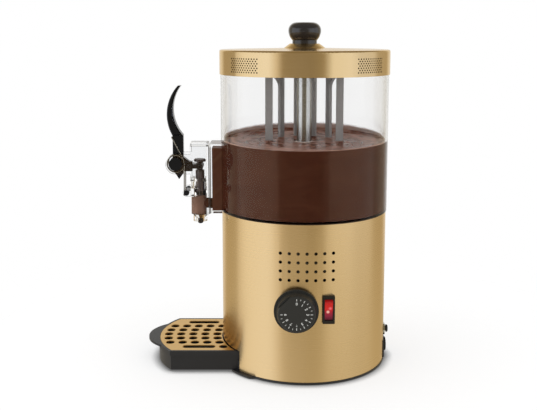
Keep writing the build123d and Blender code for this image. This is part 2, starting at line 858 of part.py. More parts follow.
with BuildPart() as switch_housing:
    with BuildSketch(Plane.YZ):
        with Locations((switch_offset, control_height)):
            RectangleRounded(switch_frame_width, switch_frame_height, switch_frame_corner)
    extrude(amount=switch_front)
    chamfer(switch_housing.faces().sort_by(Axis.X)[-1].edges(), switch_frame_edge)
    with BuildSketch():
        Circle(body_radius)
    extrude(amount=body_top, mode=Mode.SUBTRACT)
    with BuildSketch(Plane.YZ.offset(switch_front - switch_depth)):
        with Locations((switch_offset, control_height)):
            Rectangle(switch_width, switch_height)
    extrude(amount=switch_depth - switch_proud)
    with BuildSketch(Plane.YZ.offset(rocker_pivot - switch_pocket)):
        with Locations((switch_offset, control_height)):
            Rectangle(rocker_width + slide_gap, 2 * rocker_half + 3 * slide_gap)
    extrude(amount=switch_pocket + rocker_pivot_depth, mode=Mode.SUBTRACT)
    with BuildSketch(Plane.XZ.offset(-switch_offset)):
        with Locations((rocker_pivot, control_height)):
            Circle(rocker_pin_radius + run_gap)
    extrude(amount=rocker_width / 2 + rocker_pin_length + run_gap, both=True, mode=Mode.SUBTRACT)
switch_housing.part.label = "switch_housing"
export_step(switch_housing.part, "parts/switch_housing.step")

# the rocker is tilted, with its lower end pressed in
rocker_plane = Plane(
    origin=(rocker_pivot, switch_offset, control_height),
    x_dir=Vector(1, 0, 0).rotate(Axis.Y, rocker_tilt),
    z_dir=(0, -1, 0),
)
with BuildPart() as switch_rocker:
    rocker_side = outline(
        rocker_plane,
        (rocker_rise, rocker_half),
        (rocker_dip, 0),
        (rocker_rise, -rocker_half),
        (-rocker_rise, -rocker_half),
        (-rocker_keel, -rocker_keel_half),
        (-rocker_keel, rocker_keel_half),
        (-rocker_rise, rocker_half),
    )
    extrude(rocker_side, amount=rocker_width / 2, both=True)
    with BuildSketch(rocker_plane):
        Circle(rocker_pin_radius)
    extrude(amount=rocker_width / 2 + rocker_pin_length, both=True)
switch_rocker.part.label = "switch_rocker"
export_step(switch_rocker.part, "parts/switch_rocker.step")

# Motor, gearbox and drive shaft

with BuildPart() as motor_bracket:
    bridge = outline(
        Plane.XZ.offset(-bracket_half_y),
        (-bracket_half_x - bracket_foot, pan_top),
        (-bracket_half_x + bracket_plate, pan_top),
        (-bracket_half_x + bracket_plate, gearbox_top),
        (bracket_half_x - bracket_plate, gearbox_top),
        (bracket_half_x - bracket_plate, pan_top),
        (bracket_half_x + bracket_foot, pan_top),
        (bracket_half_x + bracket_foot, pan_top + bracket_plate),
        (bracket_half_x, pan_top + bracket_plate),
        (bracket_half_x, bracket_top),
        (-bracket_half_x, bracket_top),
        (-bracket_half_x, pan_top + bracket_plate),
        (-bracket_half_x - bracket_foot, pan_top + bracket_plate),
    )
    extrude(bridge, amount=2 * bracket_half_y)
    with Locations((0, 0, bracket_top)):
        Hole(gearbox_boss_radius + run_gap, depth=bracket_plate)
        with GridLocations(2 * screw_spread_x, 2 * screw_spread_y, 2, 2):
            Hole(screw_radius, depth=bracket_plate)
    with Locations((0, 0, pan_top + bracket_plate)):
        with GridLocations(2 * bracket_half_x + bracket_foot, 2 * foot_screw_spread, 2, 2):
            Hole(screw_radius, depth=bracket_plate)
motor_bracket.part.label = "motor_bracket"
export_step(motor_bracket.part, "parts/motor_bracket.step")

with BuildPart() as gearbox:
    with BuildSketch(Plane.XY.offset(gearbox_bottom)):
        RectangleRounded(gearbox_size_x, gearbox_size_y, gearbox_corner)
    extrude(amount=gearbox_height)
    with BuildSketch(Plane.XY.offset(gearbox_top)):
        Circle(gearbox_boss_radius)
    extrude(amount=gearbox_boss)
    with Locations((0, 0, gearbox_top + gearbox_boss)):
        Hole(output_radius + run_gap, depth=gearbox_boss + output_depth)
    with Locations((0, 0, gearbox_top)):
        with GridLocations(2 * screw_spread_x, 2 * screw_spread_y, 2, 2):
            Hole(screw_radius, depth=screw_depth)
gearbox.part.label = "gearbox"
export_step(gearbox.part, "parts/gearbox.step")

with BuildPart() as motor:
    with BuildSketch(Plane.XY.offset(gearbox_bottom - motor_height)):
        Circle(motor_radius)
    extrude(amount=motor_height)
    fillet(motor.faces().sort_by(Axis.Z)[0].edges(), motor_corner)
motor.part.label = "motor"
export_step(motor.part, "parts/motor.step")

with BuildPart() as motor_screws:
    with BuildSketch(Plane.XY.offset(bracket_top)):
        with GridLocations(2 * screw_spread_x, 2 * screw_spread_y, 2, 2):
            Circle(screw_head_radius)
    extrude(amount=screw_head)
    with BuildSketch(Plane.XY.offset(gearbox_top - screw_depth)):
        with GridLocations(2 * screw_spread_x, 2 * screw_spread_y, 2, 2):
            Circle(screw_radius)
    extrude(amount=screw_depth + bracket_plate)
motor_screws.part.label = "motor_screws"
export_step(motor_screws.part, "parts/motor_screws.step")

with BuildPart() as bracket_screws:
    with BuildSketch(Plane.XY.offset(pan_top + bracket_plate)):
        with GridLocations(2 * bracket_half_x + bracket_foot, 2 * foot_screw_spread, 2, 2):
            Circle(screw_head_radius)
    extrude(amount=screw_head)
    with BuildSketch(Plane.XY.offset(foot_height)):
        with GridLocations(2 * bracket_half_x + bracket_foot, 2 * foot_screw_spread, 2, 2):
            Circle(screw_radius)
    extrude(amount=pan_floor + bracket_plate)
bracket_screws.part.label = "bracket_screws"
export_step(bracket_screws.part, "parts/bracket_screws.step")

output_bottom = gearbox_top - output_depth + slide_gap
with BuildPart() as output_shaft:
    with BuildSketch(Plane.XY.offset(output_bottom)):
        Circle(output_radius)
    extrude(amount=output_top - output_bottom)
output_shaft.part.label = "output_shaft"
export_step(output_shaft.part, "parts/output_shaft.step")

with BuildPart() as shaft_coupling:
    with BuildSketch(Plane.XY.offset(coupling_bottom)):
        Circle(coupling_radius)
    extrude(amount=coupling_height)
    with Locations((0, 0, output_top)):
        Hole(output_radius, depth=output_grip)
    with Locations((0, 0, coupling_top)):
        Hole(shaft_radius, depth=coupling_height - output_grip)
shaft_coupling.part.label = "shaft_coupling"
export_step(shaft_coupling.part, "parts/shaft_coupling.step")

with BuildPart() as drive_shaft:
    with BuildSketch(Plane.XY.offset(output_top)):
        Circle(shaft_radius)
    extrude(amount=shaft_top - shaft_hex_length - output_top)
    with BuildSketch(Plane.XY.offset(shaft_top - shaft_hex_length)):
        RegularPolygon(shaft_hex / 2, 6, major_radius=False)
    extrude(amount=shaft_hex_length)
drive_shaft.part.label = "drive_shaft"
export_step(drive_shaft.part, "parts/drive_shaft.step")

with BuildPart() as shaft_bushes:
    for bush_bottom in (tank_bottom, chimney_top - bush_length):
        with BuildSketch(Plane.XY.offset(bush_bottom)):
            Circle(chimney_radius - chimney_wall)
            Circle(shaft_radius + run_gap, mode=Mode.SUBTRACT)
        extrude(amount=bush_length)
shaft_bushes.part.label = "shaft_bushes"
export_step(shaft_bushes.part, "parts/shaft_bushes.step")

terminal_front = body_radius - terminal_setback - terminal_size_y / 2
with BuildPart() as terminal_block:
    with BuildSketch(rear_plane.offset(terminal_front)):
        with Locations((0, pan_top + terminal_height / 2)):
            Rectangle(terminal_size_x, terminal_height)
            with GridLocations(terminal_pitch, terminal_height, terminal_ways, 1):
                Circle(terminal_bore, mode=Mode.SUBTRACT)
    extrude(amount=terminal_size_y)
terminal_block.part.label = "terminal_block"
export_step(terminal_block.part, "parts/terminal_block.step")

# Bowl

with BuildPart() as bowl_wall:
    bowl_section = outline(
        Plane.XZ,
        (bowl_radius, bowl_bottom),
        (bowl_radius, bowl_top),
        (bowl_inner, bowl_top),
        (bowl_inner, ledge_top),
        (ledge_bore, ledge_top),
        (ledge_bore, ledge_top - bowl_ledge_thickness),
        (spigot_outer - bowl_spigot_wall, ledge_top - bowl_ledge_thickness),
        (spigot_outer - bowl_spigot_wall, bowl_rest),
        (spigot_outer, bowl_rest),
        (spigot_outer, bowl_bottom),
    )
    revolve(bowl_section, axis=Axis.Z)
    # window to the outlet chamber
    with BuildSketch(Plane.XZ.offset(ledge_bore)):
        with Locations((0, body_top + window_bottom + window_height / 2)):
            Rectangle(2 * window_half, window_height)
    extrude(amount=bowl_radius - ledge_bore, mode=Mode.SUBTRACT)
bowl_wall.part.label = "bowl_wall"
export_step(bowl_wall.part, "parts/bowl_wall.step")

with BuildPart() as floor_gasket:
    with BuildSketch(Plane.XY.offset(ledge_top)):
        Circle(gasket_radius)
        Circle(ledge_bore, mode=Mode.SUBTRACT)
    extrude(amount=gasket_thickness)
floor_gasket.part.label = "floor_gasket"
export_step(floor_gasket.part, "parts/floor_gasket.step")

with BuildPart() as bowl_floor:
    dish_section = outline(
        Plane.XZ,
        (column_radius, floor_bottom),
        (floor_radius, floor_bottom),
        (floor_radius, floor_flange_top - floor_sheet),
        (gasket_radius, floor_flange_top - floor_sheet),
        (gasket_radius, floor_flange_top),
        (floor_radius - floor_sheet, floor_flange_top),
        (floor_radius - floor_sheet, floor_bottom + floor_sheet),
        (column_radius, floor_bottom + floor_sheet),
    )
    revolve(dish_section, axis=Axis.Z)
bowl_floor.part.label = "bowl_floor"
export_step(bowl_floor.part, "parts/bowl_floor.step")

with BuildPart() as centre_column:
    with BuildSketch(Plane.XY.offset(floor_bottom)):
        Circle(column_radius)
        Circle(column_bore, mode=Mode.SUBTRACT)
    extrude(amount=column_top - floor_bottom)
centre_column.part.label = "centre_column"
export_step(centre_column.part, "parts/centre_column.step")

# the chocolate leaves a ring free for the cage
fill_bottom = floor_bottom + floor_sheet + liquid_gap
ring_inner = end_bar_place - bar_width / 2 - stirrer_clearance
ring_outer = end_bar_place + bar_width / 2 + stirrer_clearance
ring_bottom = cage_bottom - stirrer_clearance
with BuildPart() as hot_chocolate:
    fill_section = outline(
        Plane.XZ,
        (column_radius + liquid_gap, fill_bottom),
        (floor_radius - floor_sheet - liquid_gap, fill_bottom),
        (floor_radius - floor_sheet - liquid_gap, floor_flange_top + liquid_gap),
        (bowl_inner - liquid_gap, floor_flange_top + liquid_gap),
        (bowl_inner - liquid_gap, chocolate_level),
        (ring_outer, chocolate_level),
        (ring_outer, ring_bottom),
        (ring_inner, ring_bottom),
        (ring_inner, chocolate_level),
        (column_radius + liquid_gap, chocolate_level),
    )
    revolve(fill_section, axis=Axis.Z)
hot_chocolate.part.label = "hot_chocolate"
export_step(hot_chocolate.part, "parts/hot_chocolate.step")

# Stirrer

bar_turn = math.degrees(math.asin(bar_width / 2 / cage_radius))
blade_turn = math.degrees(math.asin(blade_width / 2 / cage_radius))
end_turn = 90 - math.degrees(math.asin(cage_wall / 2 / cage_radius))
cage_windows = [(end_turn, 45 + bar_turn, cage_shoulder), (45 - bar_turn, blade_turn, cage_head)]
window_bottom_height = cage_bottom + cage_foot
arm_length = cage_radius - cage_wall / 2
with BuildPart() as stirrer:
    with BuildSketch(stirrer_level(cage_bottom)):
        Circle(cage_radius)
        Circle(cage_radius - cage_wall, mode=Mode.SUBTRACT)
        with Locations((cage_wall / 2 - cage_radius, 0)):
            Rectangle(2 * cage_radius, 2 * cage_radius, mode=Mode.INTERSECT)
    extrude(amount=cage_top - cage_bottom)
    for outer_turn, inner_turn, head in cage_windows:
        window_top_height = cage_top - head
        window_width = 2 * cage_radius * math.sin(math.radians(outer_turn - inner_turn) / 2)
        for side in (-1, 1):
            turn = math.radians(180 + cage_turn + side * (outer_turn + inner_turn) / 2)
            window_plane = Plane(
                origin=(0, 0, (window_bottom_height + window_top_height) / 2),
                x_dir=(0, 0, 1),
                z_dir=(math.cos(turn), math.sin(turn), 0),
            )
            with BuildSketch(window_plane):
                SlotOverall(window_top_height - window_bottom_height, window_width)
            extrude(amount=cage_radius, mode=Mode.SUBTRACT)
    # flat bars at the two ends
    with BuildSketch(stirrer_level(cage_bottom)):
        with Locations((0, -end_bar_place), (0, end_bar_place)):
            Rectangle(cage_wall, bar_width)
    extrude(amount=cage_top - cage_bottom)
    # arms to the two ends and the middle of the cage
    with BuildSketch(stirrer_level(cage_top - arm_height)):
        Rectangle(bar_width, 2 * arm_length)
        with Locations((-arm_length / 2, 0)):
            Rectangle(arm_length, bar_width)
        Circle(column_radius + slide_gap, mode=Mode.SUBTRACT)
    extrude(amount=arm_height)
    with BuildSketch(Plane.XY.offset(hub_bottom)):
        Circle(hub_radius)
        RegularPolygon(shaft_hex / 2 + hub_hex_gap, 6, major_radius=False, mode=Mode.SUBTRACT)
    extrude(amount=hub_height)
stirrer.part.label = "stirrer"
export_step(stirrer.part, "parts/stirrer.step")

with BuildPart() as stirrer_cap:
    with BuildSketch(Plane.XY.offset(hub_top)):
        Circle(cap_radius)
    extrude(amount=cap_height)
    fillet(stirrer_cap.faces().sort_by(Axis.Z)[-1].edges(), cap_edge)
stirrer_cap.part.label = "stirrer_cap"
export_step(stirrer_cap.part, "parts/stirrer_cap.step")

# Lid

with BuildPart() as lid:
    lid_section = outline(
        Plane.XZ,
        (lid_radius, lid_bottom),
        (lid_radius, lid_edge_top),
        (boss_radius, crown_top),
        (boss_top_radius, boss_top),
        (lid_screw_radius, boss_top),
        (lid_screw_radius, boss_top - lid_sheet),
        (boss_top_radius - lid_sheet, boss_top - lid_sheet),
        (boss_radius - lid_sheet, crown_top - lid_sheet),
        (lid_inner, lid_edge_top - lid_sheet),
        (lid_inner, lid_bottom),
    )
    revolve(lid_section, axis=Axis.Z)
    lid_circles = lid.edges().filter_by(GeomType.CIRCLE).group_by(SortBy.RADIUS)
    fillet(lid_circles[-1].sort_by(Axis.Z)[-1], lid_corner)
    lid_circles = lid.edges().filter_by(GeomType.CIRCLE).group_by(SortBy.RADIUS)
    fillet(lid_circles[-2].sort_by(Axis.Z)[-1], lid_corner - lid_sheet)
    # patches of fine vents, in rows that are staggered
    for patch in range(lid_vent_patches):
        turn = math.radians(lid_vent_angle + patch * 360 / lid_vent_patches)
        patch_plane = Plane(
            origin=(0, 0, lid_bottom + lid_vent_rise),
            x_dir=(-math.sin(turn), math.cos(turn), 0),
            z_dir=(math.cos(turn), math.sin(turn), 0),
        )
        with BuildSketch(patch_plane):
            for row in range(lid_vent_rows):
                with Locations((0, (row - (lid_vent_rows - 1) / 2) * lid_vent_row)):
                    with GridLocations(lid_vent_pitch, lid_vent_row, lid_vent_count - row % 2, 1):
                        Circle(lid_vent_radius)
        extrude(amount=lid_radius, mode=Mode.SUBTRACT)
lid.part.label = "lid"
export_step(lid.part, "parts/lid.step")

# ring that carries the lid on the bowl's rim and keeps it in the middle
with BuildPart() as lid_ring:
    ring_section = outline(
        Plane.XZ,
        (lid_inner, lid_web_bottom),
        (lid_inner, lid_web_bottom + lid_web),
        (lid_ring_outer - lid_ring_wall, lid_web_bottom + lid_web),
        (lid_ring_outer - lid_ring_wall, bowl_top - lid_ring_depth),
        (lid_ring_outer, bowl_top - lid_ring_depth),
        (lid_ring_outer, lid_web_bottom),
    )
    revolve(ring_section, axis=Axis.Z)
lid_ring.part.label = "lid_ring"
export_step(lid_ring.part, "parts/lid_ring.step")

with BuildPart() as lid_knob:
    with BuildSketch(Plane.XZ):
        with BuildLine():
            Line((0, boss_top), (knob_neck_radius, boss_top))
            Line((knob_neck_radius, boss_top), (knob_neck_radius, boss_top + knob_waist))
            TangentArc(
                (knob_radius, boss_top + knob_widest),
                (knob_neck_radius, boss_top + knob_waist),
                tangent=(0, -1),
            )
            TangentArc(
                (knob_radius, boss_top + knob_widest),
                (knob_flat_radius, boss_top + knob_height),
                tangent=(0, 1),
            )
            Line((knob_flat_radius, boss_top + knob_height), (0, boss_top + knob_height))
            Line((0, boss_top + knob_height), (0, boss_top))
        make_face()
    revolve(axis=Axis.Z)
    with BuildSketch(Plane.XY.offset(boss_top)):
        Circle(lid_screw_radius)
    extrude(amount=lid_screw_grip, mode=Mode.SUBTRACT)
lid_knob.part.label = "lid_knob"
export_step(lid_knob.part, "parts/lid_knob.step")

with BuildPart() as lid_screw:
    with BuildSketch(Plane.XY.offset(boss_top - lid_sheet - lid_screw_head)):
        Circle(lid_screw_head_radius)
    extrude(amount=lid_screw_head)
    with BuildSketch(Plane.XY.offset(boss_top - lid_sheet)):
        Circle(lid_screw_radius)
    extrude(amount=lid_sheet + lid_screw_grip)
lid_screw.part.label = "lid_screw"
export_step(lid_screw.part, "parts/lid_screw.step")

# Outlet chamber

block_level = body_top + block_bottom
with BuildPart() as outlet_block:
    with BuildSketch(Plane.XY.offset(block_level)):
        with Locations((0, -block_front / 2)):
            Rectangle(2 * block_half, block_front)
        Circle(bowl_radius, mode=Mode.SUBTRACT)
    extrude(amount=block_height)
    with BuildSketch(Plane.XY.offset(block_level + block_wall)):
        with Locations((0, -(block_front - block_wall) / 2)):
            Rectangle(2 * (block_half - block_wall), block_front - block_wall)
    extrude(amount=block_height - block_wall - block_roof, mode=Mode.SUBTRACT)
    with BuildSketch(Plane.XZ.offset(bowl_radius)):
        with Locations((0, body_top + port_height)):
            Circle(port_radius)
    extrude(amount=block_depth, mode=Mode.SUBTRACT)
outlet_block.part.label = "outlet_block"
export_step(outlet_block.part, "parts/outlet_block.step")

with BuildPart() as tap_gasket:
    with BuildSketch(Plane.XZ.offset(block_front)):
        with Locations((0, body_top + tap_bottom + tap_height / 2)):
            Rectangle(2 * gasket_half, tap_height - 2 * gasket_margin)
        with Locations((0, body_top + port_height)):
            Circle(port_radius, mode=Mode.SUBTRACT)
    extrude(amount=tap_gasket_thickness)
tap_gasket.part.label = "tap_gasket"
export_step(tap_gasket.part, "parts/tap_gasket.step")

# Tap

with BuildPart() as tap_body:
    # round barrel and its back plate, with a square housing above
    with BuildSketch(tap_level(tap_bottom)):
        Circle(tap_depth)
        with Locations((0, tap_depth - tap_back_wall / 2)):
            Rectangle(2 * tap_half, tap_back_wall)
    extrude(amount=tap_height)
    with BuildSketch(tap_level(chamber_floor - tap_side)):
        Rectangle(2 * tap_half, 2 * tap_depth)
    extrude(amount=tap_roof - chamber_floor + tap_side)
    fillet(tap_body.edges().filter_by(Axis.Z).group_by(Axis.Y)[0], tap_edge)
    # ears for the lever's pin and lugs for the spring's pin
    with BuildSketch(tap_side_plane.offset(-tap_half)):
        with Locations((pivot_forward / 2, pivot_rise)):
            Rectangle(pivot_forward, 2 * ear_radius)
        with Locations((pivot_forward, pivot_rise)):
            Circle(ear_radius)
        with Locations((spring_pin_forward / 2, spring_pin_rise)):
            Rectangle(spring_pin_forward, 2 * lug_radius)
        with Locations((spring_pin_forward, spring_pin_rise)):
            Circle(lug_radius)
    extrude(amount=2 * tap_half)
    # room between them, in front of the barrel
    with BuildSketch(tap_level(spring_pin_rise - lug_radius)):
        with Locations((0, -tap_depth - pivot_forward)):
            Rectangle(2 * chamber_half, 2 * pivot_forward)
    extrude(amount=tap_roof, mode=Mode.SUBTRACT)
    # chamber round the plunger's head, open to the front and closed by the cap
    with BuildSketch(tap_level(chamber_floor)):
        with Locations((0, (chamber_back - tap_depth) / 2)):
            Rectangle(2 * chamber_half, chamber_back + tap_depth)
    extrude(amount=tap_roof - chamber_floor, mode=Mode.SUBTRACT)
    with BuildSketch(tap_level(tap_bottom)):
        Circle(barrel_bore)
    extrude(amount=chamber_floor - tap_bottom, mode=Mode.SUBTRACT)
    with BuildSketch(Plane.XZ.offset(tap_reach - tap_depth)):
        with Locations((0, body_top + port_height)):
            Circle(port_radius)
    extrude(amount=tap_depth, mode=Mode.SUBTRACT)
    with BuildSketch(tap_side_plane.offset(-tap_half)):
        with Locations((pivot_forward, pivot_rise)):
            Circle(pivot_pin_radius)
        with Locations((spring_pin_forward, spring_pin_rise)):
            Circle(spring_pin_radius)
    extrude(amount=2 * tap_half, mode=Mode.SUBTRACT)
tap_body.part.label = "tap_body"
export_step(tap_body.part, "parts/tap_body.step")

with BuildPart() as tap_cap:
    with BuildSketch(tap_level(tap_roof)):
        Rectangle(2 * tap_half, 2 * tap_depth)
    extrude(amount=tap_cap_thickness)
    fillet(tap_cap.edges().filter_by(Axis.Z), tap_edge)
tap_cap.part.label = "tap_cap"
export_step(tap_cap.part, "parts/tap_cap.step")

nozzle_bottom = tap_bottom - nozzle_length
with BuildPart() as tap_nozzle:
    nozzle_section = outline(
        tap_side_plane,
        (barrel_bore, tap_bottom),
        (nozzle_radius, tap_bottom),
        (nozzle_radius, nozzle_bottom),
        (tip_radius + tip_gap, nozzle_bottom),
        (tip_radius + tip_gap, tap_bottom - nozzle_seat),
    )
    revolve(nozzle_section, axis=plunger_axis)
tap_nozzle.part.label = "tap_nozzle"
export_step(tap_nozzle.part, "parts/tap_nozzle.step")

port_fill_radius = port_radius - liquid_gap
barrel_fill_bottom = tap_bottom + liquid_gap
with BuildPart() as outlet_chocolate:
    # in the outlet chamber
    with BuildSketch(Plane.XY.offset(block_level + block_wall + liquid_gap)):
        with Locations((0, -(block_front - block_wall - liquid_gap) / 2)):
            Rectangle(2 * (block_half - block_wall - liquid_gap), block_front - block_wall - liquid_gap)
        Circle(bowl_radius + liquid_gap, mode=Mode.SUBTRACT)
    extrude(amount=block_height - block_wall - block_roof - 2 * liquid_gap)
    # in the bowl's window
    with BuildSketch(Plane.XY.offset(body_top + window_bottom + liquid_gap)):
        with Locations((0, -block_front / 2)):
            Rectangle(2 * (window_half - liquid_gap), block_front)
        Circle(bowl_radius + block_depth - block_wall - liquid_gap, mode=Mode.INTERSECT)
        Circle(bowl_inner, mode=Mode.SUBTRACT)
    extrude(amount=window_height - 2 * liquid_gap)
    # in the port and in the barrel, under the piston
    with BuildSketch(Plane.XZ.offset(block_front - block_wall - liquid_gap)):
        with Locations((0, body_top + port_height)):
            Circle(port_fill_radius)
    extrude(amount=block_wall + tap_gasket_thickness + tap_depth)
    with BuildSketch(tap_level(barrel_fill_bottom)):
        Circle(barrel_bore - liquid_gap)
    extrude(amount=piston_bottom - liquid_gap - barrel_fill_bottom)
    with BuildSketch(tap_level(barrel_fill_bottom)):
        Circle(tip_radius + tip_gap)
    extrude(amount=piston_bottom - barrel_fill_bottom, mode=Mode.SUBTRACT)
outlet_chocolate.part.label = "outlet_chocolate"
export_step(outlet_chocolate.part, "parts/outlet_chocolate.step")

with BuildPart() as pivot_pin:
    with BuildSketch(lever_plane):
        Circle(pivot_pin_radius)
    extrude(amount=tap_half, both=True)
    for head_plane in (lever_plane.offset(tap_half), lever_plane.offset(-tap_half - pin_head)):
        with BuildSketch(head_plane):
            Circle(pin_head_radius)
        extrude(amount=pin_head)
pivot_pin.part.label = "pivot_pin"
export_step(pivot_pin.part, "parts/pivot_pin.step")

with BuildPart() as spring_pin:
    with BuildSketch(tap_side_plane):
        with Locations((spring_pin_forward, spring_pin_rise)):
            Circle(spring_pin_radius)
    extrude(amount=tap_half, both=True)
    for knob_start in (tap_half, -tap_half - spring_knob_length):
        with BuildSketch(tap_side_plane.offset(knob_start)):
            with Locations((spring_pin_forward, spring_pin_rise)):
                Circle(spring_knob_radius)
        extrude(amount=spring_knob_length)
spring_pin.part.label = "spring_pin"
export_step(spring_pin.part, "parts/spring_pin.step")

# Plunger

with BuildPart() as tap_plunger:
    plunger_section = outline(
        tap_side_plane,
        (0, plunger_top),
        (plunger_radius - plunger_edge, plunger_top),
        (plunger_radius, plunger_top - plunger_edge),
        (plunger_radius, waist_top),
        (waist_radius, waist_top),
        (waist_radius, waist_bottom),
        (stem_radius, waist_bottom),
        (stem_radius, piston_top),
        (piston_radius, piston_top),
        (piston_radius, piston_top - piston_flange),
        (seal_bore, piston_top - piston_flange),
        (seal_bore, piston_bottom + piston_flange),
        (piston_radius, piston_bottom + piston_flange),
        (piston_radius, piston_bottom),
        (rod_radius, piston_bottom),
        (rod_radius, tip_top),
        (0, tip_top),
    )
    revolve(plunger_section, axis=plunger_axis)
tap_plunger.part.label = "tap_plunger"
export_step(tap_plunger.part, "parts/tap_plunger.step")

with BuildPart() as plunger_seals:
    for ring in range(seal_count):
        with BuildSketch(tap_level(piston_bottom + piston_flange + ring * seal_height)):
            Circle(seal_radius)
            Circle(seal_bore, mode=Mode.SUBTRACT)
        extrude(amount=seal_height - run_gap)
plunger_seals.part.label = "plunger_seals"
export_step(plunger_seals.part, "parts/plunger_seals.step")

with BuildPart() as plunger_tip:
    with BuildSketch(tap_level(tip_top - tip_length)):
        Circle(tip_radius)
    extrude(amount=tip_length)
    fillet(plunger_tip.faces().sort_by(Axis.Z)[0].edges(), tip_round)
plunger_tip.part.label = "plunger_tip"
export_step(plunger_tip.part, "parts/plunger_tip.step")

# Lever

fork_level = fork_height - pivot_rise
arm_end_back = arm_end - pivot_forward
with BuildPart() as tap_lever:
    with BuildSketch(lever_plane):
        with BuildLine():
            ThreePointArc(
                (stem_front, handle_foot),
                (handle_bulge_front, handle_bulge_front_rise),
                (handle_tip_front, handle_tip_rise),
            )
            Line((handle_tip_front, handle_tip_rise), (handle_tip_back, handle_tip_rise))
            ThreePointArc(
                (handle_tip_back, handle_tip_rise),
                (handle_bulge_back, handle_bulge_back_rise),
                (stem_back, handle_foot),
            )
            Line((stem_back, handle_foot), (stem_front, handle_foot))
        make_face()
    extrude(amount=handle_half, both=True)
    chamfer(tap_lever.faces().filter_by(Axis.X).edges(), handle_bevel)
    stem_side = outline(
        lever_plane, (stem_front, 0), (stem_front, handle_foot), (stem_back, handle_foot), (stem_back, 0)
    )
    extrude(stem_side, amount=lever_half, both=True)
    arm_side = outline(
        lever_plane,
        (0, 0),
        (arm_root_back, arm_root_rise),
        (arm_end_back + arm_slope, arm_shoulder),
        (arm_end_back, arm_shoulder),
        (arm_end_back, -arm_drop),
        (arm_foot_back, -arm_drop),
    )
    extrude(arm_side, amount=lever_half, both=True)
    toe_side = outline(
        lever_plane,
        (0, 0),
        (toe_back, -toe_back_drop),
        (toe_tip_back, -toe_tip_drop),
        (toe_front, -toe_front_drop),
    )
    extrude(toe_side, amount=lever_half, both=True)
    with BuildSketch(lever_plane):
        with Locations(((fork_start - 2 * pivot_forward) / 2, fork_level)):
            Rectangle(fork_start, fork_bar)
        with Locations((-pivot_forward, fork_level)):
            Circle(fork_tip_radius)
    extrude(amount=fork_half, both=True)
    with BuildSketch(lever_plane):
        with Locations((fork_slot_end / 2 - pivot_forward - fork_tip_radius / 2, fork_level)):
            Rectangle(fork_slot_end + fork_tip_radius, 2 * fork_tip_radius)
    extrude(amount=waist_radius + fork_gap, both=True, mode=Mode.SUBTRACT)
    with BuildSketch(lever_plane):
        Circle(lever_boss_radius)
    extrude(amount=lever_boss_half, both=True)
    with BuildSketch(lever_plane):
        Circle(pivot_pin_radius + run_gap)
    extrude(amount=lever_boss_half, both=True, mode=Mode.SUBTRACT)
tap_lever.part.label = "tap_lever"
export_step(tap_lever.part, "parts/tap_lever.step")

# Return spring: two coils round the lever's boss, joined by a bridge in front of the stem

leg_forward = spring_pin_forward + spring_pin_radius + wire_radius + spring_gap - pivot_forward
bridge_forward = stem_front + wire_radius + spring_gap
bridge_side = lever_half + wire_radius + spring_gap
leg_angle = math.atan2(-spring_leg_drop, leg_forward)
leg_angle -= math.acos(coil_radius / math.hypot(leg_forward, spring_leg_drop))
bridge_angle = math.atan2(spring_bridge_rise, bridge_forward)
bridge_angle += math.acos(coil_radius / math.hypot(bridge_forward, spring_bridge_rise))
coil_sweep = (leg_angle - bridge_angle) % (2 * math.pi) + 2 * math.pi * coil_turns
coil_rate = coil_pitch / (2 * math.pi)
coil_steps = 4 * coil_turns + 1


def spring_point(forward, up, side):
    return Vector(side, lever_plane.origin.Y - forward, lever_plane.origin.Z + up)


def coil_point(turned):
    # The wire goes over the boss from back to front, and inwards to the stem
    angle = leg_angle - turned
    side = bridge_side + coil_rate * (coil_sweep - turned)
    return spring_point(coil_radius * math.cos(angle), coil_radius * math.sin(angle), side)


def coil_run(turned):
    # Direction of the wire, level with the legs where it meets them
    angle = leg_angle - turned
    inwards = 0 if turned in (0, coil_sweep) else -coil_rate
    return Vector(inwards, -coil_radius * math.sin(angle), -coil_radius * math.cos(angle)).normalized()


with BuildPart() as return_spring:
    with BuildLine() as spring_line:
        Line(spring_point(leg_forward, -spring_leg_drop, coil_point(0).X), coil_point(0))
        for step in range(coil_steps):
            turned = coil_sweep * step / coil_steps
            turned_next = coil_sweep * (step + 1) / coil_steps
            quarter_biarc(
                coil_point(turned), coil_run(turned), coil_point(turned_next), coil_run(turned_next)
            )
        corner = spring_point(bridge_forward, spring_bridge_rise, bridge_side)
        bend_start = corner - coil_run(coil_sweep) * spring_bend
        bend_end = corner - Vector(spring_bend, 0, 0)
        Line(coil_point(coil_sweep), bend_start)
        TangentArc(bend_start, bend_end, tangent=coil_run(coil_sweep))
        Line(bend_end, Vector(0, corner.Y, corner.Z))
        mirror(about=Plane.YZ)
    spring_wire = spring_line.wires()[0]
    with BuildSketch(Plane(origin=spring_wire @ 0, z_dir=spring_wire % 0)):
        Circle(wire_radius)
    sweep(path=spring_wire)
return_spring.part.label = "return_spring"
export_step(return_spring.part, "parts/return_spring.step")

# gap between the turns, measured on points along the wire
wire_points = [spring_wire @ (step / 900) for step in range(901)]
wire_step = spring_wire.length / 900
apart = math.ceil(4 * math.pi * wire_radius / wire_step)
least_gap = min(
    (here - there).length - 2 * wire_radius
    for index, here in enumerate(wire_points)
    for there in wire_points[index + apart :]
)
print("return spring: wire", round(spring_wire.length, 1), "mm, least gap", round(least_gap, 2), "mm")

# Drip tray and grid

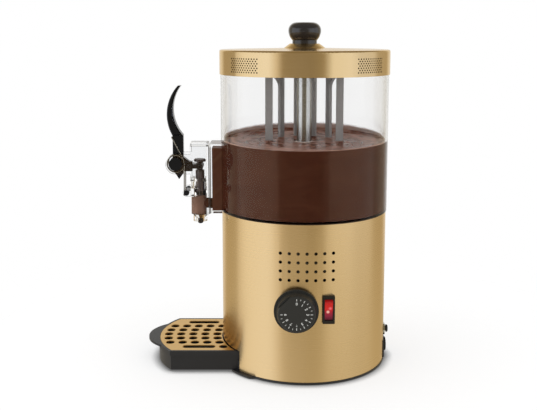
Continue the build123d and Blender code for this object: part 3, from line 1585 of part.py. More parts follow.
ledge_height = grid_bottom - seat_gap
cavity_floor = tray_bottom + tray_floor
with BuildPart() as drip_tray:
    extrude(tray_plan(tray_bottom), amount=tray_height)
    extrude(tray_plan(tray_top - rim_height, rim_lip), amount=rim_height)
    with BuildSketch(Plane.XY.offset(tray_top - tab_thickness)):
        with BuildLine():
            for reach in (tray_nose + tab_out, tray_nose):
                ThreePointArc(
                    (tab_half, -nose_reach(tab_half)), (0, -reach), (-tab_half, -nose_reach(tab_half))
                )
        make_face()
    extrude(amount=tab_thickness)
    extrude(tray_plan(cavity_floor, -tray_wall), amount=tray_height, mode=Mode.SUBTRACT)
    extrude(tray_plan(ledge_height, -rim_wall), amount=tray_height, mode=Mode.SUBTRACT)
    # rib under the grid's back edge
    with BuildSketch(Plane.XY.offset(cavity_floor)):
        Circle(grid_back + grid_rib / 2)
        Circle(grid_back - grid_rib / 2, mode=Mode.SUBTRACT)
        with Locations((0, -grid_back)):
            Rectangle(2 * (tray_half - tray_wall), 2 * grid_back, mode=Mode.INTERSECT)
    extrude(amount=ledge_height - cavity_floor)
drip_tray.part.label = "drip_tray"
export_step(drip_tray.part, "parts/drip_tray.step")

grid_hole_places = []
for row in range(grid_rows):
    place = (row - (grid_rows - 1) / 2) * grid_row_pitch
    first = grid_nose_margin - nose_reach(place)
    last = -math.sqrt(grid_back**2 - place**2) - grid_back_margin
    pitch = (last - first) / (grid_columns - 1)
    grid_hole_places += [(place, first + column * pitch) for column in range(grid_columns)]
side_hole_place = -math.sqrt((grid_back + side_hole_gap) ** 2 - slot_offset**2)
grid_hole_places += [(side * slot_offset, side_hole_place) for side in (-1, 1)]
slot_places = [(side * slot_offset, -body_radius - slot_out) for side in (-1, 1)]
with BuildPart() as drip_grid:
    with BuildSketch(Plane.XY.offset(grid_bottom)):
        add(tray_plan(0, -rim_wall - slide_gap))
        Circle(grid_back, mode=Mode.SUBTRACT)
        with Locations(*grid_hole_places):
            Circle(grid_hole_radius, mode=Mode.SUBTRACT)
        with Locations(*slot_places):
            SlotOverall(slot_length, slot_width, rotation=90, mode=Mode.SUBTRACT)
    extrude(amount=grid_thickness)
    grid_top = drip_grid.faces().sort_by(Axis.Z)[-1]
    chamfer(grid_top.inner_wires().edges(), grid_hole_bevel)
drip_grid.part.label = "drip_grid"
export_step(drip_grid.part, "parts/drip_grid.step")
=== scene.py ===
import json
import math

import bmesh
import bpy
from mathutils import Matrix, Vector


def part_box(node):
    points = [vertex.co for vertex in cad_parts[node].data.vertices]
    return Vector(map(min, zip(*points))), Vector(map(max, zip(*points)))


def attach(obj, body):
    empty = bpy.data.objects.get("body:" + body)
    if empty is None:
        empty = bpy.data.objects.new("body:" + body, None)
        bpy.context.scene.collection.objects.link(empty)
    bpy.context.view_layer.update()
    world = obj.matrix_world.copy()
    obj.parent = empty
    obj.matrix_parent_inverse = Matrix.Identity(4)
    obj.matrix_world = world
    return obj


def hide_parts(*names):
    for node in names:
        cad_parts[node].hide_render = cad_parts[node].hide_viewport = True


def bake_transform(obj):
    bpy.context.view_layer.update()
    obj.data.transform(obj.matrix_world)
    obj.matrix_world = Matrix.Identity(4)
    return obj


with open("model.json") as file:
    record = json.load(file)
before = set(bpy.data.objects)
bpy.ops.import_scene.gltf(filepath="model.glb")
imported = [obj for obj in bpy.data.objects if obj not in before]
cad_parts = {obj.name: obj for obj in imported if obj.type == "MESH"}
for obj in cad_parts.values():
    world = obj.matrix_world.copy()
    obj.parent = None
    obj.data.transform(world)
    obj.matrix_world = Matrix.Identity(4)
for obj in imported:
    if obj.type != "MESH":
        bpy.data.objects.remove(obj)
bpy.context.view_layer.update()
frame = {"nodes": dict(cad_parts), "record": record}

nodes = frame["nodes"]
mm = 0.001
noiseSpread = {"From Min": 0.3, "From Max": 0.7}  # where most values of a noise pattern lie
shineTurn = 0.25  # a quarter turn draws the shine out along the axis of what was turned or brushed


# Small tools

def hexColour(code):
    # sRGB hex to the linear colour that a socket takes
    values = [int(code[i:i + 2], 16) / 255 for i in (0, 2, 4)]
    return [v / 12.92 if v <= 0.04045 else ((v + 0.055) / 1.055) ** 2.4 for v in values] + [1.0]


def addNode(tree, kind, links=None, **settings):
    # settings are the node's own, links fill its inputs with a value or another node's output
    made = tree.nodes.new(kind)
    for name, value in settings.items():
        setattr(made, name, value)
    for name, value in (links or {}).items():
        if isinstance(value, bpy.types.NodeSocket):
            tree.links.new(value, made.inputs[name])
        else:
            made.inputs[name].default_value = value
    return made


def fillRamp(ramp, stops):
    # stops are (place, hex colour), from 0 to 1
    band = ramp.color_ramp
    while len(band.elements) < len(stops):
        band.elements.new(1.0)
    for element, (place, code) in zip(band.elements, stops):
        element.position = place
        element.color = hexColour(code)


def startMaterial(name, **sockets):
    material = bpy.data.materials.new(name)
    material.use_nodes = True
    tree = material.node_tree
    shader = tree.nodes["Principled BSDF"]
    for socket, value in sockets.items():
        shader.inputs[socket.replace("_", " ")].default_value = value
    return material, tree, shader


# Gold sheet: rolled steel, brushed round the drum and lacquered. Vertical bands of light with
# soft edges, and faint hair lines that run round it. The lid is brushed finer, so its bands are
# sharper. Its inside is painted dark, painted shade which makes the vents read as dark points
goldFinishes = {
    "goldLacquerBrushedSteel": {"light": "ECD0A0", "deep": "E7C997", "roughness": (0.24, 0.28)},
    "goldLacquerBrushedLid": {
        # dark: painted shade on the lid's inside, round its vents
        "light": "EFD7AC", "deep": "EACFA0", "roughness": (0.12, 0.16), "dark": "1C140B",
        "inside": (0.1, 3.0, 25.0)},  # mm in from its side, then from and to over its lower edge
    "goldLacquerBrushedGrid": {"light": "E8C890", "deep": "DCB67C", "roughness": (0.27, 0.36)},
}
brushing = {
    "spacing": 0.6,  # mm. Real brushing is near 0.1, too fine to show
    "length": 60.0,  # mm
    "anisotropic": 0.6, "edgeTint": "F3E4C8",
    "lacquer": {"Coat_Weight": 0.25, "Coat_Roughness": 0.15},
    "relief": 0.03, "depth": 0.3,  # strength, mm
    "clouds": 1000 / 9, "wear": 0.05,  # mm, and how much duller they make it
}


def brushedGold(name, alongY=False):
    settings = goldFinishes[name]
    material, tree, shader = startMaterial(
        name, Metallic=1.0, Specular_Tint=hexColour(brushing["edgeTint"]), **brushing["lacquer"])
    place = addNode(tree, "ShaderNodeTexCoord").outputs["Object"]
    axes = addNode(tree, "ShaderNodeSeparateXYZ", {"Vector": place})
    fine, coarse = 1 / (brushing["spacing"] * mm), 1 / (brushing["length"] * mm)
    if alongY:
        across = addNode(tree, "ShaderNodeMath", {0: axes.outputs["X"], 1: fine}, operation="MULTIPLY")
    else:
        # height on the drum's side, distance from the axis on flat tops
        flat = addNode(tree, "ShaderNodeVectorMath", {0: place, 1: (1, 1, 0)}, operation="MULTIPLY")
        reach = addNode(tree, "ShaderNodeVectorMath", {0: flat.outputs[0]}, operation="LENGTH")
        both = addNode(tree, "ShaderNodeMath", {0: reach.outputs["Value"], 1: axes.outputs["Z"]})
        across = addNode(tree, "ShaderNodeMath", {0: both.outputs[0], 1: fine}, operation="MULTIPLY")
    sideX = addNode(tree, "ShaderNodeMath", {0: axes.outputs["X"], 1: coarse}, operation="MULTIPLY")
    sideY = addNode(tree, "ShaderNodeMath", {0: axes.outputs["Y"], 1: coarse}, operation="MULTIPLY")
    along = (across, sideY) if alongY else (sideX, sideY)
    grain = addNode(tree, "ShaderNodeCombineXYZ", {
        "X": along[0].outputs[0], "Y": along[1].outputs[0], "Z": 0.0 if alongY else across.outputs[0]})
    lines = addNode(tree, "ShaderNodeTexNoise", {
        "Vector": grain.outputs[0], "Scale": 1.0, "Detail": 3.0, "Roughness": 0.6})
    cloud = addNode(tree, "ShaderNodeTexNoise", {
        "Vector": place, "Scale": 1 / (brushing["clouds"] * mm), "Detail": 2.0})
    colour = addNode(tree, "ShaderNodeMix", {
        "Factor": lines.outputs["Fac"],
        6: hexColour(settings["deep"]), 7: hexColour(settings["light"])}, data_type="RGBA")
    rough = addNode(tree, "ShaderNodeMapRange", {
        "Value": lines.outputs["Fac"], **noiseSpread,
        "To Min": settings["roughness"][0], "To Max": settings["roughness"][1]})
    wear = addNode(tree, "ShaderNodeMath", {
        0: cloud.outputs["Fac"], 1: brushing["wear"], 2: rough.outputs[0]}, operation="MULTIPLY_ADD")
    relief = addNode(tree, "ShaderNodeBump", {
        "Height": lines.outputs["Fac"], "Strength": brushing["relief"],
        "Distance": brushing["depth"] * mm})
    # painted shade: inside the lid, from 3 to 25 mm over its lower edge, the colour turns dark
    if "inside" in settings:
        depth, edge, height = settings["inside"]
        low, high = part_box("lid")
        within = addNode(tree, "ShaderNodeMath", {
            0: reach.outputs["Value"], 1: high.x - depth * mm}, operation="LESS_THAN")
        middle = addNode(tree, "ShaderNodeMath", {
            0: axes.outputs["Z"], 1: low.z + (edge + height) / 2 * mm, 2: (height - edge) / 2 * mm},
            operation="COMPARE")
        both = addNode(tree, "ShaderNodeMath", {
            0: within.outputs[0], 1: middle.outputs[0]}, operation="MULTIPLY")
        colour = addNode(tree, "ShaderNodeMix", {
            "Factor": both.outputs[0], 6: colour.outputs[2], 7: hexColour(settings["dark"])},
            data_type="RGBA")
    tree.links.new(colour.outputs[2], shader.inputs["Base Color"])
    tree.links.new(wear.outputs[0], shader.inputs["Roughness"])
    tree.links.new(relief.outputs[0], shader.inputs["Normal"])
    if not alongY:
        shader.inputs["Anisotropic"].default_value = brushing["anisotropic"]
        shader.inputs["Anisotropic Rotation"].default_value = shineTurn
        around = addNode(tree, "ShaderNodeTangent", direction_type="RADIAL", axis="Z")
        tree.links.new(around.outputs[0], shader.inputs["Tangent"])
    return material


# Moulded plastics and rubber: an even colour with a fine spark-eroded grain that dulls the shine
mouldedFinishes = {
    "absBlackTextured": {  # tray, base and panel, satin
        "colour": "26272C", "spots": "202125", "roughness": (0.38, 0.5), "grain": 0.9, "relief": 0.10},
    "phenolicBlackPolished": {  # lid knob, bright gloss
        "colour": "26272B", "spots": "222226", "roughness": (0.14, 0.22), "grain": 3.0, "relief": 0.02,
        "coat": 0.8, "shine": "F4F4FF"},
    "nylonBlackMoulded": {  # lever and tap pins, glossy
        "colour": "08080A", "spots": "060607", "roughness": (0.18, 0.28), "grain": 2.0, "relief": 0.01,
        "shine": "DAE4FF"},
    "nylonCharcoal": {  # dial
        "colour": "2B2C2B", "spots": "262726", "roughness": (0.42, 0.55), "grain": 0.8, "relief": 0.08},
    "nylonBlackSatin": {  # switch frame and the ring behind the dial
        "colour": "151413", "spots": "110F0E", "roughness": (0.3, 0.42), "grain": 1.2, "relief": 0.05},
    "rubberBlack": {  # foot ring, seals and gland, dull
        "colour": "1A1A1B", "spots": "141414", "roughness": (0.65, 0.8), "grain": 1.2, "relief": 0.12},
    "rubberBrownBlack": {  # seal under the bowl, dull
        "colour": "2A170F", "spots": "22120B", "roughness": (0.6, 0.75), "grain": 1.2, "relief": 0.1},
    "acetalDark": {  # tap plunger, waxy
        "colour": "453B3E", "spots": "3A3134", "roughness": (0.28, 0.4), "grain": 1.5, "relief": 0.03},
    "polyamideGrey": {  # stirrer cage, food grade
        "colour": "A7A5A4", "spots": "9B9998", "roughness": (0.35, 0.46), "grain": 1.0, "relief": 0.06,
        "coat": 0.3},
}
moulding = {"ior": 1.5, "coatRoughness": 0.1, "clouds": 40.0, "depth": 0.2}  # mm


def mouldedPlastic(name):
    settings = mouldedFinishes[name]
    material, tree, shader = startMaterial(
        name, IOR=moulding["ior"], Specular_Tint=hexColour(settings.get("shine", "FFFFFF")),
        Coat_Weight=settings.get("coat", 0.0), Coat_Roughness=moulding["coatRoughness"])
    place = addNode(tree, "ShaderNodeTexCoord").outputs["Object"]
    grit = addNode(tree, "ShaderNodeTexNoise", {
        "Vector": place, "Scale": 1 / (settings["grain"] * mm), "Detail": 2.0})
    cloud = addNode(tree, "ShaderNodeTexNoise", {
        "Vector": place, "Scale": 1 / (moulding["clouds"] * mm), "Detail": 3.0})
    colour = addNode(tree, "ShaderNodeMix", {
        "Factor": cloud.outputs["Fac"],
        6: hexColour(settings["colour"]), 7: hexColour(settings["spots"])}, data_type="RGBA")
    rough = addNode(tree, "ShaderNodeMapRange", {
        "Value": grit.outputs["Fac"], **noiseSpread,
        "To Min": settings["roughness"][0], "To Max": settings["roughness"][1]})
    relief = addNode(tree, "ShaderNodeBump", {
        "Height": grit.outputs["Fac"], "Strength": settings["relief"],
        "Distance": moulding["depth"] * mm})
    tree.links.new(colour.outputs[2], shader.inputs["Base Color"])
    tree.links.new(rough.outputs[0], shader.inputs["Roughness"])
    tree.links.new(relief.outputs[0], shader.inputs["Normal"])
    return material


# Bare metals: drawn, turned or cast, with the tool's lines in the shine
metalFinishes = {
    "stainlessBrushed": {
        "colour": "B9BAB8", "spots": "A9AAA9", "roughness": (0.26, 0.38), "grain": (40.0, 40.0, 0.8)},
    "stainlessPolished": {
        "colour": "D6D6D3", "spots": "C9CAC8", "roughness": (0.07, 0.13), "grain": (1.5, 1.5, 60.0)},
    "stainlessTurned": {  # column, light drawn out upwards
        "colour": "B6B8BA", "spots": "A9ABAE", "roughness": (0.2, 0.28), "grain": (40.0, 40.0, 0.6),
        "anisotropic": 0.75},
    "springSteel": {
        "colour": "A8A6A0", "spots": "93918C", "roughness": (0.2, 0.3), "grain": (2.0, 2.0, 2.0)},
    "brassTurned": {
        "colour": "C49A5A", "spots": "AE8548", "roughness": (0.24, 0.36), "grain": (25.0, 25.0, 0.6)},
    "steelPaintedDark": {
        "colour": "2A2B2E", "spots": "232427", "roughness": (0.35, 0.5), "grain": (2.0, 2.0, 2.0)},
    "aluminiumDieCast": {
        "colour": "9B9C9D", "spots": "88898B", "roughness": (0.45, 0.6), "grain": (1.2, 1.2, 1.2)},
}
toolLines = {"relief": 0.05, "depth": 0.2}  # strength, mm


def bareMetal(name):
    settings = metalFinishes[name]
    material, tree, shader = startMaterial(name, Metallic=1.0)
    place = addNode(tree, "ShaderNodeTexCoord").outputs["Object"]
    scale = [1 / (size * mm) for size in settings["grain"]]
    grain = addNode(tree, "ShaderNodeVectorMath", {0: place, 1: scale}, operation="MULTIPLY")
    lines = addNode(tree, "ShaderNodeTexNoise", {
        "Vector": grain.outputs[0], "Scale": 1.0, "Detail": 3.0})
    colour = addNode(tree, "ShaderNodeMix", {
        "Factor": lines.outputs["Fac"],
        6: hexColour(settings["colour"]), 7: hexColour(settings["spots"])}, data_type="RGBA")
    rough = addNode(tree, "ShaderNodeMapRange", {
        "Value": lines.outputs["Fac"], **noiseSpread,
        "To Min": settings["roughness"][0], "To Max": settings["roughness"][1]})
    relief = addNode(tree, "ShaderNodeBump", {
        "Height": lines.outputs["Fac"], "Strength": toolLines["relief"],
        "Distance": toolLines["depth"] * mm})
    tree.links.new(colour.outputs[2], shader.inputs["Base Color"])
    tree.links.new(rough.outputs[0], shader.inputs["Roughness"])
    tree.links.new(relief.outputs[0], shader.inputs["Normal"])
    if "anisotropic" in settings:
        shader.inputs["Anisotropic"].default_value = settings["anisotropic"]
        shader.inputs["Anisotropic Rotation"].default_value = shineTurn
        around = addNode(tree, "ShaderNodeTangent", direction_type="RADIAL", axis="Z")
        tree.links.new(around.outputs[0], shader.inputs["Tangent"])
    return material


# Dark sheet behind the lid's vents, painted shade: dull, with a fine square net
shadeScreenSettings = {
    "wire": "2A2117", "gap": "0E0A06", "metallic": 0.3, "roughness": 0.7,
    "mesh": 0.9, "relief": 0.3, "depth": 0.2,  # mm, strength, mm
}


def wovenScreen(name, settings=shadeScreenSettings):
    material, tree, shader = startMaterial(
        name, Metallic=settings["metallic"], Roughness=settings["roughness"])
    place = addNode(tree, "ShaderNodeTexCoord").outputs["Object"]
    scaled = addNode(tree, "ShaderNodeVectorMath", {
        0: place, "Scale": 1 / (settings["mesh"] * mm)}, operation="SCALE")
    net = addNode(tree, "ShaderNodeTexChecker", {
        "Vector": scaled.outputs[0], "Color1": hexColour(settings["wire"]),
        "Color2": hexColour(settings["gap"]), "Scale": 1.0})
    relief = addNode(tree, "ShaderNodeBump", {
        "Height": net.outputs["Fac"], "Strength": settings["relief"],
        "Distance": settings["depth"] * mm})
    tree.links.new(net.outputs["Color"], shader.inputs["Base Color"])
    tree.links.new(relief.outputs[0], shader.inputs["Normal"])
    return material


# Clear polycarbonate: injection moulded and polished. Bright edges, grey lines where walls bend.
# The bowl's wall mirrors only at a slant: what wets its inside carries the shine, which keeps
# grain off the render. The seal behind the tap is silicone, milky and soft in its shine
clearFinishes = {
    "polycarbonateClear": {
        "tint": "F8F8F8", "shine": "BCA289", "ior": 1.5, "roughness": 0.02,
        "waveSize": 30.0, "relief": 0.003},
    "polycarbonateClearBowl": {
        "tint": "F8F8F8", "shine": "000000", "ior": 1.5, "roughness": 0.02,
        "waveSize": 30.0, "relief": 0.003},
    "siliconeMilky": {
        "tint": "E6E5E1", "shine": "FFFFFF", "ior": 1.41, "roughness": 0.35,
        "waveSize": 8.0, "relief": 0.05},
}
waveDepth = 1.0  # mm


def clearPlastic(name):
    settings = clearFinishes[name]
    material, tree, shader = startMaterial(
        name, Base_Color=hexColour(settings["tint"]), IOR=settings["ior"],
        Roughness=settings["roughness"], Specular_Tint=hexColour(settings["shine"]),
        Transmission_Weight=1.0)
    place = addNode(tree, "ShaderNodeTexCoord").outputs["Object"]
    wave = addNode(tree, "ShaderNodeTexNoise", {
        "Vector": place, "Scale": 1 / (settings["waveSize"] * mm), "Detail": 1.0})
    relief = addNode(tree, "ShaderNodeBump", {
        "Height": wave.outputs["Fac"], "Strength": settings["relief"], "Distance": waveDepth * mm})
    tree.links.new(relief.outputs[0], shader.inputs["Normal"])
    # lamps shine through the wall instead of stopping at it
    ray = addNode(tree, "ShaderNodeLightPath")
    clear = addNode(tree, "ShaderNodeBsdfTransparent", {"Color": hexColour(settings["tint"])})
    mixed = addNode(tree, "ShaderNodeMixShader", {
        "Fac": ray.outputs["Is Shadow Ray"], 1: shader.outputs[0], 2: clear.outputs[0]})
    tree.links.new(mixed.outputs[0], tree.nodes["Material Output"].inputs["Surface"])
    return material


# Hot chocolate: thick warm liquid. Wet gloss on top with slow paler streaks round the stirrer, and
# the bowl's shine where it wets the wall. Next to none in the tap: it and plastic bend light alike
chocolateFinishes = {
    "hotChocolateSurface": {
        "dark": "6E3E2C", "pale": "C4998A", "ior": 1.12, "roughness": (0.2, 0.4), "columnHighlight": "F4EAE4"},
    "hotChocolateOnWall": {
        "dark": "452318", "pale": "4C291D", "ior": 1.5, "roughness": (0.08, 0.12), "shine": "C2A48B"},
    "hotChocolateInTap": {"dark": "613B2C", "pale": "6B4634", "ior": 1.06, "roughness": (0.3, 0.4)},
    # the barrel's copy is painted paler than the chamber's: painted light on the chocolate seen through
    # the tap
    "hotChocolatePaintedPaleInBarrel": {"dark": "896858", "pale": "957465", "ior": 1.06, "roughness": (0.3, 0.4)},
}
chocolateStreak = {
    "across": 19.0, "turns": 1.7,  # mm from streak to streak, and wander round the axis
    "distortion": 1.3, "paleFrom": 0.42, "paleTo": 0.70,
}
# painted highlight round the column's foot: broken from and to, mm from the axis, and a whole ring
# against the steel
columnHighlight = {"from": 9.5, "to": 16.0, "cover": 0.9, "ring": 2.2, "ringCover": 0.95}


def hotChocolate(name):
    settings = chocolateFinishes[name]
    material, tree, shader = startMaterial(
        name, IOR=settings["ior"], Specular_Tint=hexColour(settings.get("shine", "FFFFFF")))
    place = addNode(tree, "ShaderNodeTexCoord").outputs["Object"]
    flat = addNode(tree, "ShaderNodeVectorMath", {0: place, 1: (1, 1, 0)}, operation="MULTIPLY")
    reach = addNode(tree, "ShaderNodeVectorMath", {0: flat.outputs[0]}, operation="LENGTH")
    around = addNode(tree, "ShaderNodeVectorMath", {0: flat.outputs[0]}, operation="NORMALIZE")
    wander = addNode(tree, "ShaderNodeVectorMath", {
        0: around.outputs[0], "Scale": chocolateStreak["turns"]}, operation="SCALE")
    height = addNode(tree, "ShaderNodeSeparateXYZ", {"Vector": place})
    both = addNode(tree, "ShaderNodeMath", {0: reach.outputs["Value"], 1: height.outputs["Z"]})
    across = addNode(tree, "ShaderNodeMath", {
        0: both.outputs[0], 1: 1 / (chocolateStreak["across"] * mm)}, operation="MULTIPLY")
    up = addNode(tree, "ShaderNodeCombineXYZ", {"Z": across.outputs[0]})
    swirl = addNode(tree, "ShaderNodeVectorMath", {0: wander.outputs[0], 1: up.outputs[0]})
    streaks = addNode(tree, "ShaderNodeTexNoise", {
        "Vector": swirl.outputs[0], "Scale": 1.0, "Detail": 3.0,
        "Distortion": chocolateStreak["distortion"]})
    share = addNode(tree, "ShaderNodeMapRange", {
        "Value": streaks.outputs["Fac"],
        "From Min": chocolateStreak["paleFrom"], "From Max": chocolateStreak["paleTo"]})
    colour = addNode(tree, "ShaderNodeMix", {
        "Factor": share.outputs[0],
        6: hexColour(settings["dark"]), 7: hexColour(settings["pale"])}, data_type="RGBA")
    # painted highlight: a pale ring at the column's foot, broken into pale patches further out
    if "columnHighlight" in settings:
        near = addNode(tree, "ShaderNodeMapRange", {
            "Value": reach.outputs["Value"], "From Min": columnHighlight["from"] * mm,
            "From Max": columnHighlight["to"] * mm, "To Min": columnHighlight["cover"], "To Max": 0.0})
        broken = addNode(tree, "ShaderNodeMath", {
            0: near.outputs[0], 1: share.outputs[0]}, operation="MULTIPLY", use_clamp=True)
        edge = addNode(tree, "ShaderNodeMapRange", {
            "Value": reach.outputs["Value"], "From Min": columnHighlight["from"] * mm,
            "From Max": (columnHighlight["from"] + columnHighlight["ring"]) * mm,
            "To Min": columnHighlight["ringCover"], "To Max": 0.0})
        ring = addNode(tree, "ShaderNodeMath", {
            0: broken.outputs[0], 1: edge.outputs[0]}, operation="MAXIMUM")
        colour = addNode(tree, "ShaderNodeMix", {
            "Factor": ring.outputs[0], 6: colour.outputs[2], 7: hexColour(settings["columnHighlight"])},
            data_type="RGBA")
    rough = addNode(tree, "ShaderNodeMapRange", {
        "Value": streaks.outputs["Fac"], **noiseSpread,
        "To Min": settings["roughness"][0], "To Max": settings["roughness"][1]})
    tree.links.new(colour.outputs[2], shader.inputs["Base Color"])
    tree.links.new(rough.outputs[0], shader.inputs["Roughness"])
    return material


# Film that the stirred chocolate leaves on the wall, thin and broken at its upper edge
filmSettings = {
    "colour": "B48E7E", "ior": 1.1, "roughness": 0.5,
    "patch": 14.0, "ragged": 0.3,  # mm, and how far patches shift the edge
    "fade": {"From Min": 0.6, "From Max": 1.1, "To Min": 0.95, "To Max": 0.0},
}


def chocolateFilm(name, settings=filmSettings):
    material, tree, shader = startMaterial(
        name, Base_Color=hexColour(settings["colour"]), IOR=settings["ior"],
        Roughness=settings["roughness"])
    place = addNode(tree, "ShaderNodeTexCoord")
    patches = addNode(tree, "ShaderNodeTexNoise", {
        "Vector": place.outputs["Object"], "Scale": 1 / (settings["patch"] * mm), "Detail": 3.0})
    up = addNode(tree, "ShaderNodeSeparateXYZ", {"Vector": place.outputs["UV"]})
    ragged = addNode(tree, "ShaderNodeMath", {
        0: patches.outputs["Fac"], 1: settings["ragged"], 2: up.outputs["Y"]}, operation="MULTIPLY_ADD")
    cover = addNode(tree, "ShaderNodeMapRange", {
        "Value": ragged.outputs[0], **settings["fade"]}, interpolation_type="SMOOTHSTEP")
    tree.links.new(cover.outputs[0], shader.inputs["Alpha"])
    return material


# Pad-printed ink of the dial's scale: flat white, a little uneven
inkSettings = {"colour": "E9E9E4", "thin": "C9C9C4", "ior": 1.5, "roughness": 0.55, "patch": 0.6}  # mm


def paddedInk(name, settings=inkSettings):
    material, tree, shader = startMaterial(name, IOR=settings["ior"], Roughness=settings["roughness"])
    place = addNode(tree, "ShaderNodeTexCoord").outputs["Object"]
    patches = addNode(tree, "ShaderNodeTexNoise", {
        "Vector": place, "Scale": 1 / (settings["patch"] * mm), "Detail": 2.0})
    colour = addNode(tree, "ShaderNodeMix", {
        "Factor": patches.outputs["Fac"],
        6: hexColour(settings["colour"]), 7: hexColour(settings["thin"])}, data_type="RGBA")
    tree.links.new(colour.outputs[2], shader.inputs["Base Color"])
    return material


# Red polycarbonate lens of the lit rocker: clear red and glowing. Painted light and shade on it: bright
# red up top, plum below, and painted highlights
redLens = {
    # painted light and shade from the foot to the top: plum below, bright red up top
    "stops": ((0.0, "4A1020"), (0.2, "842038"), (0.42, "A81C2C"), (0.55, "CC2620"),
              (0.85, "BE1A1A"), (1.0, "7A1010")),
    # painted highlights: colour, mm aside, share of the height, radius in mm
    "paintedHighlights": (("FFCDB8", -0.9, 0.40, 2.6), ("F07078", 1.6, 0.58, 2.8)),
    "gloss": {"IOR": 1.58, "Roughness": 0.25, "Specular_IOR_Level": 0.2,
              "Coat_Weight": 0.1, "Coat_Roughness": 0.1},
    "glow": 0.4,
}


def redPolycarbonate(name, settings=redLens):
    material, tree, shader = startMaterial(name, Emission_Strength=settings["glow"], **settings["gloss"])
    place = addNode(tree, "ShaderNodeTexCoord").outputs["Object"]
    axes = addNode(tree, "ShaderNodeSeparateXYZ", {"Vector": place})
    low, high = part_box("switch_rocker")
    height = addNode(tree, "ShaderNodeMapRange", {
        "Value": axes.outputs["Z"], "From Min": low.z, "From Max": high.z})
    # painted light and shade by height
    colour = addNode(tree, "ShaderNodeValToRGB", {"Fac": height.outputs[0]})
    fillRamp(colour, settings["stops"])
    paintedLightColour = colour.outputs["Color"]
    flat = addNode(tree, "ShaderNodeVectorMath", {0: place, 1: (0, 1, 1)}, operation="MULTIPLY")
    # painted highlights: pale spots mixed into the colour, which also glows
    for code, side, rise, size in settings["paintedHighlights"]:
        lampOrHighlight = (0, (low.y + high.y) / 2 + side * mm, low.z + rise * (high.z - low.z))
        away = addNode(tree, "ShaderNodeVectorMath", {
            0: flat.outputs[0], 1: lampOrHighlight}, operation="DISTANCE")
        highlightShare = addNode(tree, "ShaderNodeMapRange", {
            "Value": away.outputs["Value"], "From Min": 0.0, "From Max": size * mm,
            "To Min": 1.0, "To Max": 0.0}, interpolation_type="SMOOTHSTEP")
        paintedLightColour = addNode(tree, "ShaderNodeMix", {
            "Factor": highlightShare.outputs[0], 6: paintedLightColour, 7: hexColour(code)}, data_type="RGBA").outputs[2]
    tree.links.new(paintedLightColour, shader.inputs["Base Color"])
    tree.links.new(paintedLightColour, shader.inputs["Emission Color"])
    return material


slotMaterials = {
    "gold_sheet": brushedGold("goldLacquerBrushedSteel"),
    "black_plastic": mouldedPlastic("absBlackTextured"),
    "black_rubber": mouldedPlastic("rubberBlack"),
    "clear_plastic": clearPlastic("polycarbonateClear"),
    "steel": bareMetal("stainlessBrushed"),
    "polished_steel": bareMetal("stainlessPolished"),
    "copper_brass": bareMetal("brassTurned"),
    "dark_metal": bareMetal("steelPaintedDark"),
    "cast_metal": bareMetal("aluminiumDieCast"),
    "dark_plastic": mouldedPlastic("acetalDark"),
    "grey_plastic": mouldedPlastic("polyamideGrey"),
    "red_lens": redPolycarbonate("polycarbonateRed"),
    "chocolate": hotChocolate("hotChocolateOnWall"),
}
# pieces that differ from their slot
pieceMaterials = {
    "lid_knob": mouldedPlastic("phenolicBlackPolished"),
    "thermostat_knob": mouldedPlastic("nylonCharcoal"),
    "drip_grid": brushedGold("goldLacquerBrushedGrid", alongY=True),
    "lid": brushedGold("goldLacquerBrushedLid"),
    **dict.fromkeys(("tap_lever", "spring_pin", "pivot_pin"), mouldedPlastic("nylonBlackMoulded")),
    **dict.fromkeys(("switch_housing", "dial_bezel"), mouldedPlastic("nylonBlackSatin")),
    "centre_column": bareMetal("stainlessTurned"),
    "tap_gasket": clearPlastic("siliconeMilky"),
    "bowl_wall": clearPlastic("polycarbonateClearBowl"),
}
for subpart in frame["record"]["subparts"]:
    node, slot = subpart["node"], subpart["material_slot"]
    nodes[node].data.materials.clear()
    nodes[node].data.materials.append(pieceMaterials.get(node, slotMaterials[slot]))
print("materials:", len(bpy.data.materials))


# Pieces

def addPiece(name, finish, slot, *materials):
    # finish is a bmesh, closed here
    bmesh.ops.recalc_face_normals(finish, faces=finish.faces[:])
    mesh = bpy.data.meshes.new(name)
    finish.to_mesh(mesh)
    finish.free()
    piece = bpy.data.objects.new(name, mesh)
    bpy.context.scene.collection.objects.link(piece)
    for material in materials:
        mesh.materials.append(material)
    return piece


def addPoint(bm, reach, turn, height):
    # mm from the machine's axis, radians round it, mm over the counter
    return bm.verts.new((reach * mm * math.cos(turn), reach * mm * math.sin(turn), height * mm))


def roundTurns(steps):
    return [math.tau * i / steps for i in range(steps)]


def ringFaces(bm, lower, upper, index=0):
    # joins two closed rows of points with quads
    count = len(lower)
    for i in range(count):
        face = bm.faces.new((lower[i], lower[(i + 1) % count], upper[(i + 1) % count], upper[i]))
        face.material_index = index
        face.smooth = True


def closedTube(bm, rows, index=0):
    for lower, upper in zip(rows, rows[1:]):
        ringFaces(bm, lower, upper, index)
    for end in (rows[0], rows[-1]):
        bm.faces.new(end).material_index = index


